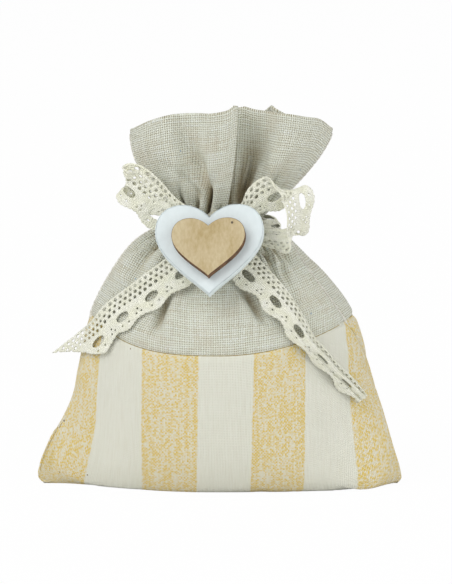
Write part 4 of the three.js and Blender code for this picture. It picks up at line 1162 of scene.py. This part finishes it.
class SACHET_OT_filling(bpy.types.Operator):
    """Fills the pouch with dried lavender buds"""

    bl_idname = "sachet.filling"
    bl_label = "Lavender Filling"

    def execute(self, context):
        cloth = shared_cloth(context)
        turn = np.linspace(0, 2 * np.pi, FILL_AROUND, endpoint=False)
        grid_up, grid_across = np.meshgrid(
            np.linspace(0.085, 0.6, FILL_ROWS), 1 - np.abs(turn / np.pi - 1) * 2, indexing="ij"
        )
        front, back = (cloth.plain(side, grid_across, grid_up) for side in (FRONT, BACK))
        body = np.where((turn < np.pi)[None, :, None], front, back)
        middle = body.mean(1, keepdims=True)
        body = middle + (body - middle) * np.array(FILL_SHARES)
        body[..., 2] = np.maximum(body[..., 2], 2.4)
        poles = np.array([body[0].mean(0), body[-1].mean(0)])
        buds = self.buds(body, middle)
        sides, fans = tube_faces(FILL_ROWS, FILL_AROUND)
        bud_sides, bud_fans = tube_faces(len(BUD_STATIONS), BUD_AROUND)
        base = body.size // 3 + 2 + np.arange(BUDS)[:, None, None] * buds.shape[1]
        points = np.concatenate([body.reshape(-1, 3), poles, buds.reshape(-1, 3)])
        all_quads = np.concatenate([sides, (base + bud_sides[None]).reshape(-1, 4)])
        all_fans = np.concatenate([fans, (base + bud_fans[None]).reshape(-1, 3)])
        finish = lavender_material(context.scene.sachet_colours)
        piece = new_mesh("lavender_buds", points, [all_quads, all_fans], finish)
        outward_faces(piece)
        stands_in(piece, "lavender_filling", "pouch")
        return {"FINISHED"}

    def buds(self, body, middle):
        """Points of all the buds, one row each: rings of points at the stations and two tips, on random
        points of the core, lying along it at a random turn."""
        rng = np.random.default_rng(7)
        pick = rng.integers(1, FILL_ROWS - 1, BUDS), rng.integers(0, FILL_AROUND, BUDS)
        outward = unit(grid_normals(np.concatenate([body, body[:, :1]], 1))[pick])
        if ((body[pick] - middle[pick[0], 0]) * outward).sum(1).mean() < 0:
            outward = -outward
        along = unit(np.cross(outward, unit(rng.normal(size=(BUDS, 3)))))
        aside = np.cross(outward, along)
        stations = np.array(BUD_STATIONS)
        turn = np.linspace(0, 2 * np.pi, BUD_AROUND, endpoint=False)
        long, wide = rng.uniform(1.6, 2.3, BUDS), rng.uniform(0.65, 0.95, BUDS)
        girth = stations[None, :, None, 1:] * wide[:, None, None, None]
        rings = (
            body[pick][:, None, None]
            + along[:, None, None] * stations[None, :, None, :1] * long[:, None, None, None]
            + aside[:, None, None] * np.cos(turn)[None, None, :, None] * girth
            + outward[:, None, None] * np.sin(turn)[None, None, :, None] * girth
        )
        tips = np.stack([body[pick] + along * long[:, None] * end for end in (-1.05, 1.05)], 1)
        return np.concatenate([rings.reshape(BUDS, -1, 3), tips], 1)


# The side seams, in mm: length of an overcast stitch, half width and half thickness of the strip.
OVERCAST, SIDE_REACH, SIDE_DEPTH = 1.5, 1.55, 0.27
# The waist seam's strip behind the cloth, in mm: half height, depth below the cloth, half thickness, ridge.
WAIST_REACH, WAIST_SUNK, WAIST_DEPTH, WAIST_RIDGE = 2.6, 1.15, 0.3, 0.38


class SACHET_OT_seams(bpy.types.Operator):
    """Sews the side seams and the waist seams"""

    bl_idname = "sachet.seams"
    bl_label = "Seams"

    def execute(self, context):
        cloth = shared_cloth(context)
        thread = thread_material("seam_thread_ecru", "cfccbf", "eae8e0")
        for end, name in ((-1.0, "left"), (1.0, "right")):
            piece = self.side_seam(cloth, end, f"{name}_seam_stitched", thread)
            stands_in(piece, f"{name}_side_seam", "pouch")
        # The waist seam's thread is dark tan: partly the thread's own colour, partly painted shade of the
        # seam line where the panels meet.
        tan = thread_material("waist_thread_tan_with_painted_shade", "8b7b4c", "a99a6a")
        stitch_length = context.scene.sachet_sizes.stitch_length / MM
        for side, name in ((FRONT, "front"), (BACK, "back")):
            piece = self.waist_seam(cloth, side, stitch_length, f"{name}_waist_stitched", tan)
            stands_in(piece, f"{name}_waist_seam", "pouch")
        return {"FINISHED"}

    def side_seam(self, cloth, end, name, finish):
        """Strip along a side: a flat oval section carried between the edges of front and back, with a wave
        for each overcast stitch. Below the waist it lies a little deeper."""
        up = np.linspace(0.03, 0.99, 330)
        sides = [cloth.surface(side, np.full_like(up, end), up) for side in (FRONT, BACK)]
        edge = (sides[0] + sides[1]) / 2
        along = unit(np.gradient(edge, axis=0))
        inner = [cloth.plain(side, np.full_like(up, end * 0.97), up) for side in (FRONT, BACK)]
        through_seam = unit(inner[1] - inner[0])
        outward = unit(np.cross(through_seam, along)) * end
        turn = np.linspace(0, 2 * np.pi, 14, endpoint=False)
        lag = 1.3 * np.sin(turn)[None]
        stitch = 0.5 + 0.5 * np.cos(2 * np.pi * lengths_along(edge)[:, None] / OVERCAST + lag)
        reach = -1.4 + SIDE_REACH * boxy(np.cos(turn))
        depth = SIDE_DEPTH * boxy(np.sin(turn))
        low = 0.5 * (1 - smooth(up, WAIST - 0.03, WAIST + 0.01))
        points = (
            edge[:, None]
            + outward[:, None] * (reach[None] + 0.1 * stitch * (reach > 0)[None] - low[:, None])[..., None]
            + through_seam[:, None] * (depth[None] * (0.8 + 0.2 * stitch))[..., None]
        )
        return tube(name, points, finish)

    def waist_seam(self, cloth, side, stitch_length, name, finish):
        """Strip behind the waist line: a flat oval section carried along the cloth's waist row, with a ridge
        in the gap between the panels and a wave for each stitch."""
        across = np.linspace(-0.93, 0.93, 320)
        heights = (WAIST - 0.004, WAIST, WAIST + 0.004)
        below, row, above = (cloth.surface(side, across, np.full_like(across, up)) for up in heights)
        upward = unit(above - below)
        along = unit(np.gradient(row, axis=0))
        outward = unit(np.cross(along, upward))
        if (outward[:, 1] * side).mean() < 0:
            outward = -outward
        turn = np.linspace(0, 2 * np.pi, 40, endpoint=False)
        stitch = 0.5 + 0.5 * np.cos(2 * np.pi * lengths_along(row) / stitch_length)
        reach = WAIST_REACH * np.cos(turn)
        depth = -WAIST_SUNK + WAIST_DEPTH * boxy(np.sin(turn))
        ridge = np.exp(-((reach / 0.4) ** 2)) * (depth > -WAIST_SUNK) * WAIST_RIDGE
        points = (
            row[:, None]
            + upward[:, None] * reach[None, :, None]
            + outward[:, None] * (depth[None] + ridge[None] * (0.85 + 0.15 * stitch[:, None]))[..., None]
        )
        return tube(name, points, finish)


# The lace tails: table, whether the scalloped edge changes sides, slant of the cut end, and the length past
# which the eyelets are pulled shut. They lie this far above the cloth, in mm.
TAILS = {
    "left_tail": (LEFT_TAIL_SHARES, False, 1.45, ALWAYS_OPEN),
    "right_tail": (RIGHT_TAIL_SHARES, True, 0.06, 38.0),
}
TAIL_GAP = 0.24


class SACHET_OT_lace(bpy.types.Operator):
    """Ties the lace ribbon: the wrap round the neck, the knot, two loops and two tails"""

    bl_idname = "sachet.lace"
    bl_label = "Lace Bow"

    def execute(self, context):
        cloth = shared_cloth(context)
        finish = lace_material(context.scene.sachet_colours)
        tree = cloth_tree(["linen_front", "striped_cotton"])
        for name, (table, flip, slant, shut) in TAILS.items():
            surface, centre, lines = self.tail(cloth, table)
            surface = laid_on(tree, surface, TAIL_GAP)
            piece, length, area = lace_strip(f"lace_{name}_draped", surface, finish, flip, 2.0, slant, shut)
            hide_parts(f"lace_{name}", f"lace_{name}_root")
            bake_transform(piece)
            self.declare(piece, length, area, "draped", ["linen_front", "striped_cotton"])
        for name, table in (("left_loop", LEFT_LOOP_SHARES), ("right_loop", RIGHT_LOOP_SHARES)):
            surface = self.loop(cloth, table)
            piece, length, area = lace_strip(f"lace_{name}_tied", surface, finish, True, start=4.0)
            stands_in(piece, f"lace_{name}", name)
            self.declare(piece, length, area, "folded", ["lace_knot_tied"])
        self.wrap(cloth, finish)
        self.knot(finish)
        return {"FINISHED"}

    def declare(self, piece, length, area, held, rests_on):
        """Does nothing: the lace's piece, length, area, how it is held and what it rests on are not used."""

    def tail(self, cloth, table):
        """Ribbon surface over the cloth: its middle line follows the table's places on the cloth's plain
        surface, lifted along the normal, and its sides lie square to the line. Past the cloth's turn to the
        side it runs straight on."""
        step = 0.01
        values = through(even(table), np.linspace(0.005, 0.995, 150))
        a, b = values[:, 0], values[:, 1]
        bound = np.clip(a, -0.82, 0.82)
        aside = cloth.plain(FRONT, bound + step, b) - cloth.plain(FRONT, bound - step, b)
        point = cloth.plain(FRONT, bound, b) + aside * ((a - bound) / (2 * step))[:, None]
        along = cloth.plain(FRONT, bound, b + step) - cloth.plain(FRONT, bound, b - step)
        normal = unit(np.cross(aside, along))
        centre = point + normal * (0.65 + values[:, 2:3] * LACE_WIDTH)
        along = unit(np.gradient(centre, axis=0))
        aside = unit(np.cross(normal, along))
        normal = unit(np.cross(along, aside))
        return curled(centre, aside, normal, values[:, 3], pleats=1.0), centre, along

    def loop(self, cloth, table):
        """Ribbon surface of a bow loop: a cubic through the table's places, with the table's directions
        across it made square to the line."""
        values = through(even(table), np.linspace(0, 1, 150))
        centre = values[:, :3] * np.array([cloth.half_width, cloth.half_depth, cloth.height])
        along = unit(np.gradient(centre, axis=0))
        aside = unit(values[:, 3:6] - along * (values[:, 3:6] * along).sum(1, keepdims=True))
        normal = unit(np.cross(along, aside))
        return curled(centre, aside, normal, values[:, 6], pleats=0.6, highest=0.8)

    def wrap(self, cloth, finish):
        """Ribbon round the neck: the neck's section, held off the cloth, with a bunched section across."""
        low, high = node_box("lace_neck_wrap")
        count = 161
        turn = np.linspace(0, 2 * np.pi, count)
        middle, half = (low + high) / 2, (high - low) / 2 - np.array([0.9, 0.9, 0])
        q = np.cos(turn)
        neck = cloth.plain(FRONT, np.arcsin(np.clip(q, -1, 1)) * 2 / np.pi, np.full(count, NECK - 0.01))
        height = neck[:, 2] - 1.9 + 0.2 * np.sin(5 * turn)
        centre = np.stack([middle[0] + half[0] * q, middle[1] + half[1] * np.sin(turn), height], -1)
        outward = unit(np.stack([q / half[0], np.sin(turn) / half[1], np.zeros(count)], -1))
        aside = unit(np.cross(outward, unit(np.gradient(centre, axis=0))))
        width = 0.42 + 0.03 * np.sin(7 * turn)
        surface = curled(centre, aside, outward, width, pleats=0.35) - outward[:, None] * 1.5
        piece, length, area = lace_strip("lace_neck_wrap_gathered", surface, finish, start=1.0)
        stands_in(piece, "lace_neck_wrap", "pouch")
        self.declare(piece, length, area, "gathered", ["linen_front", "linen_back"])

    def knot(self, finish):
        """The knot's band: ribbon round a rounded box in the lower part of the CAD knot."""
        low, high = node_box("lace_knot")
        high[2] -= 2.8
        low[2] -= 0.4
        middle, half = (low + high) / 2, (high - low) / 2 - np.array([0.6, 0.35, 0.35])
        count = 81
        turn = np.linspace(0, 2 * np.pi, count)
        y = middle[1] + half[1] * boxy(np.cos(turn), 0.75)
        z = middle[2] + half[2] * boxy(np.sin(turn), 0.75)
        centre = np.stack([np.full(count, middle[0]), y, z], -1)
        outward = unit(np.stack([np.zeros(count), np.cos(turn), np.sin(turn)], -1))
        aside = np.tile([1.0, 0, 0], (count, 1))
        surface = curled(centre, aside, outward, np.full(count, 0.8), pleats=0.2) - outward[:, None] * 1.8
        piece, length, area = lace_strip("lace_knot_tied", surface, finish, start=3.0)
        stands_in(piece, "lace_knot", "pouch")
        self.declare(piece, length, area, "folded", ["lace_neck_wrap_gathered"])


# The hearts: piece, node and slot, then width, length, thickness, rounded edge and place in mm.
HEARTS = (
    ("painted_heart", "white_heart", "painted_wood", 29.5, 25.5, 3, 0.35, (-1.96, -1.1, -9.65)),
    ("plywood_heart", "wood_heart", "birch_plywood", 20, 16.3, 3, 0.12, (-1.96, -4.4, -9.8)),
)
# How the hearts lie on the knot: turned about Z, leaned back about X and turned in their plane, in degrees.
HEART_TURN, HEART_LEAN, HEART_ROLL = -5, -25, -2


class SACHET_OT_hearts(bpy.types.Operator):
    """Glues the painted heart and the plywood heart on the knot"""

    bl_idname = "sachet.hearts"
    bl_label = "Hearts"

    def execute(self, context):
        colours = context.scene.sachet_colours
        finishes = ([paint_material(colours)], [birch_material(colours), burnt_material()])
        for (name, node, slot, *size, place), finish in zip(HEARTS, finishes):
            stands_in(self.heart(name, *size, place, finish), node, "pouch")
        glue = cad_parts["heart_glue"].data.materials
        glue.clear()
        glue.append(glue_material())
        return {"FINISHED"}

    def heart(self, name, width, length, thickness, round_edge, place, finishes):
        """A heart's outline from mirrored cubic curves, carried through a profile of insets and depths: the
        back face, a rounded edge, the side, a rounded edge and the front face, drawn in to the middle. It is
        turned in its plane, leaned against the knot and turned with it."""
        outline = self.outline(width, length)
        middle = np.array([0, 0.1 * length / 2])
        arc = np.radians([0, 30, 60, 90])
        inset, deep = round_edge * (1 - np.sin(arc)), round_edge * (1 - np.cos(arc))
        tangent = unit(np.roll(outline, -1, 0) - np.roll(outline, 1, 0))
        inward = np.stack([-tangent[:, 1], tangent[:, 0]], -1)
        if ((middle - outline) * inward).sum(1).mean() < 0:
            inward = -inward
        shares = (0.4, 0.8, 0.985)
        face = [middle + (outline - middle) * share for share in shares]
        edge = [outline + inward * pull for pull in inset]
        flat = np.array([*face, *edge, *edge[::-1], *face[::-1]])
        depths = np.array([0, 0, 0, *deep, *(thickness - deep[::-1]), thickness, thickness, thickness])
        back = np.broadcast_to(-depths[:, None], flat.shape[:2])
        rings = np.stack([flat[..., 0], back, flat[..., 1]], -1)
        poles = np.array([[middle[0], 0, middle[1]], [middle[0], -thickness, middle[1]]])
        low, high = node_box("lace_knot")
        turn, lean, roll = (math.radians(angle) for angle in (HEART_TURN, HEART_LEAN, HEART_ROLL))
        origin = np.array([0, high[1] - 4.5 * math.sin(-turn), (low[2] + high[2]) / 2])
        knot_face = 1.5 + math.tan(-lean) * 3

        def on_knot(points):
            leaned = turned(turned(points, "Y", roll) + place, "X", lean) + [0, -knot_face, 0]
            return turned(leaned, "Z", turn) + origin

        count, around = rings.shape[:2]
        slots = np.zeros((count - 1, around), int)
        if len(finishes) > 1:
            slots[3:-3] = 1
        slots = np.append(slots, np.zeros(2 * around, int))
        piece = tube(name, on_knot(rings), finishes, on_knot(poles), slots)
        piece.data.set_sharp_from_angle(angle=math.radians(40))
        return piece

    def outline(self, width, length):
        """Points along the heart's cubic curves, its right half and then its left half."""
        control = np.array(HEART_SHARES) * [width / 2, length / 2]
        t = np.linspace(0, 1, 34)[:-1, None]
        half = [
            (1 - t) ** 3 * control[k] + 3 * t * (1 - t) ** 2 * control[k + 1]
            + 3 * t**2 * (1 - t) * control[k + 2] + t**3 * control[k + 3]
            for k in (0, 3, 6)
        ]
        right = np.concatenate([*half, control[-1:]])
        left = right[1:-1][::-1] * [-1, 1]
        return np.concatenate([right, left])


def turned(points, axis, angle):
    """Points turned about one axis through the origin."""
    c, s = math.cos(angle), math.sin(angle)
    tables = {
        "X": [[1, 0, 0], [0, c, -s], [0, s, c]],
        "Y": [[c, 0, s], [0, 1, 0], [-s, 0, c]],
        "Z": [[c, -s, 0], [s, c, 0], [0, 0, 1]],
    }
    return points @ np.array(tables[axis]).T


class SACHET_PT_panel(bpy.types.Panel):
    """Lists the sachet's sizes, colours and steps"""

    bl_label = "Scented Sachet Pouch"
    bl_idname = "SACHET_PT_panel"
    bl_space_type = "VIEW_3D"
    bl_region_type = "UI"
    bl_category = "Sachet"

    def draw(self, context):
        layout = self.layout
        for group in (context.scene.sachet_sizes, context.scene.sachet_colours):
            column = layout.column(align=True)
            for key in group.bl_rna.properties.keys():
                if key not in ("rna_type", "name"):
                    column.prop(group, key)
        for operator in OPERATORS:
            layout.operator(operator.bl_idname)


OPERATORS = (
    SACHET_OT_stage, SACHET_OT_cloth, SACHET_OT_filling, SACHET_OT_seams, SACHET_OT_lace, SACHET_OT_hearts,
)
CLASSES = (SachetSizes, SachetColours, *OPERATORS, SACHET_PT_panel)


def register():
    for entry in CLASSES:
        bpy.utils.register_class(entry)
    bpy.types.Scene.sachet_sizes = bpy.props.PointerProperty(type=SachetSizes)
    bpy.types.Scene.sachet_colours = bpy.props.PointerProperty(type=SachetColours)


def unregister():
    del bpy.types.Scene.sachet_colours
    del bpy.types.Scene.sachet_sizes
    for entry in reversed(CLASSES):
        bpy.utils.unregister_class(entry)


def main():
    register()
    bpy.ops.sachet.stage()
    bpy.ops.sachet.cloth()
    bpy.ops.sachet.filling()
    bpy.ops.sachet.seams()
    bpy.ops.sachet.lace()
    bpy.ops.sachet.hearts()


if __name__ == "__main__":
    main()
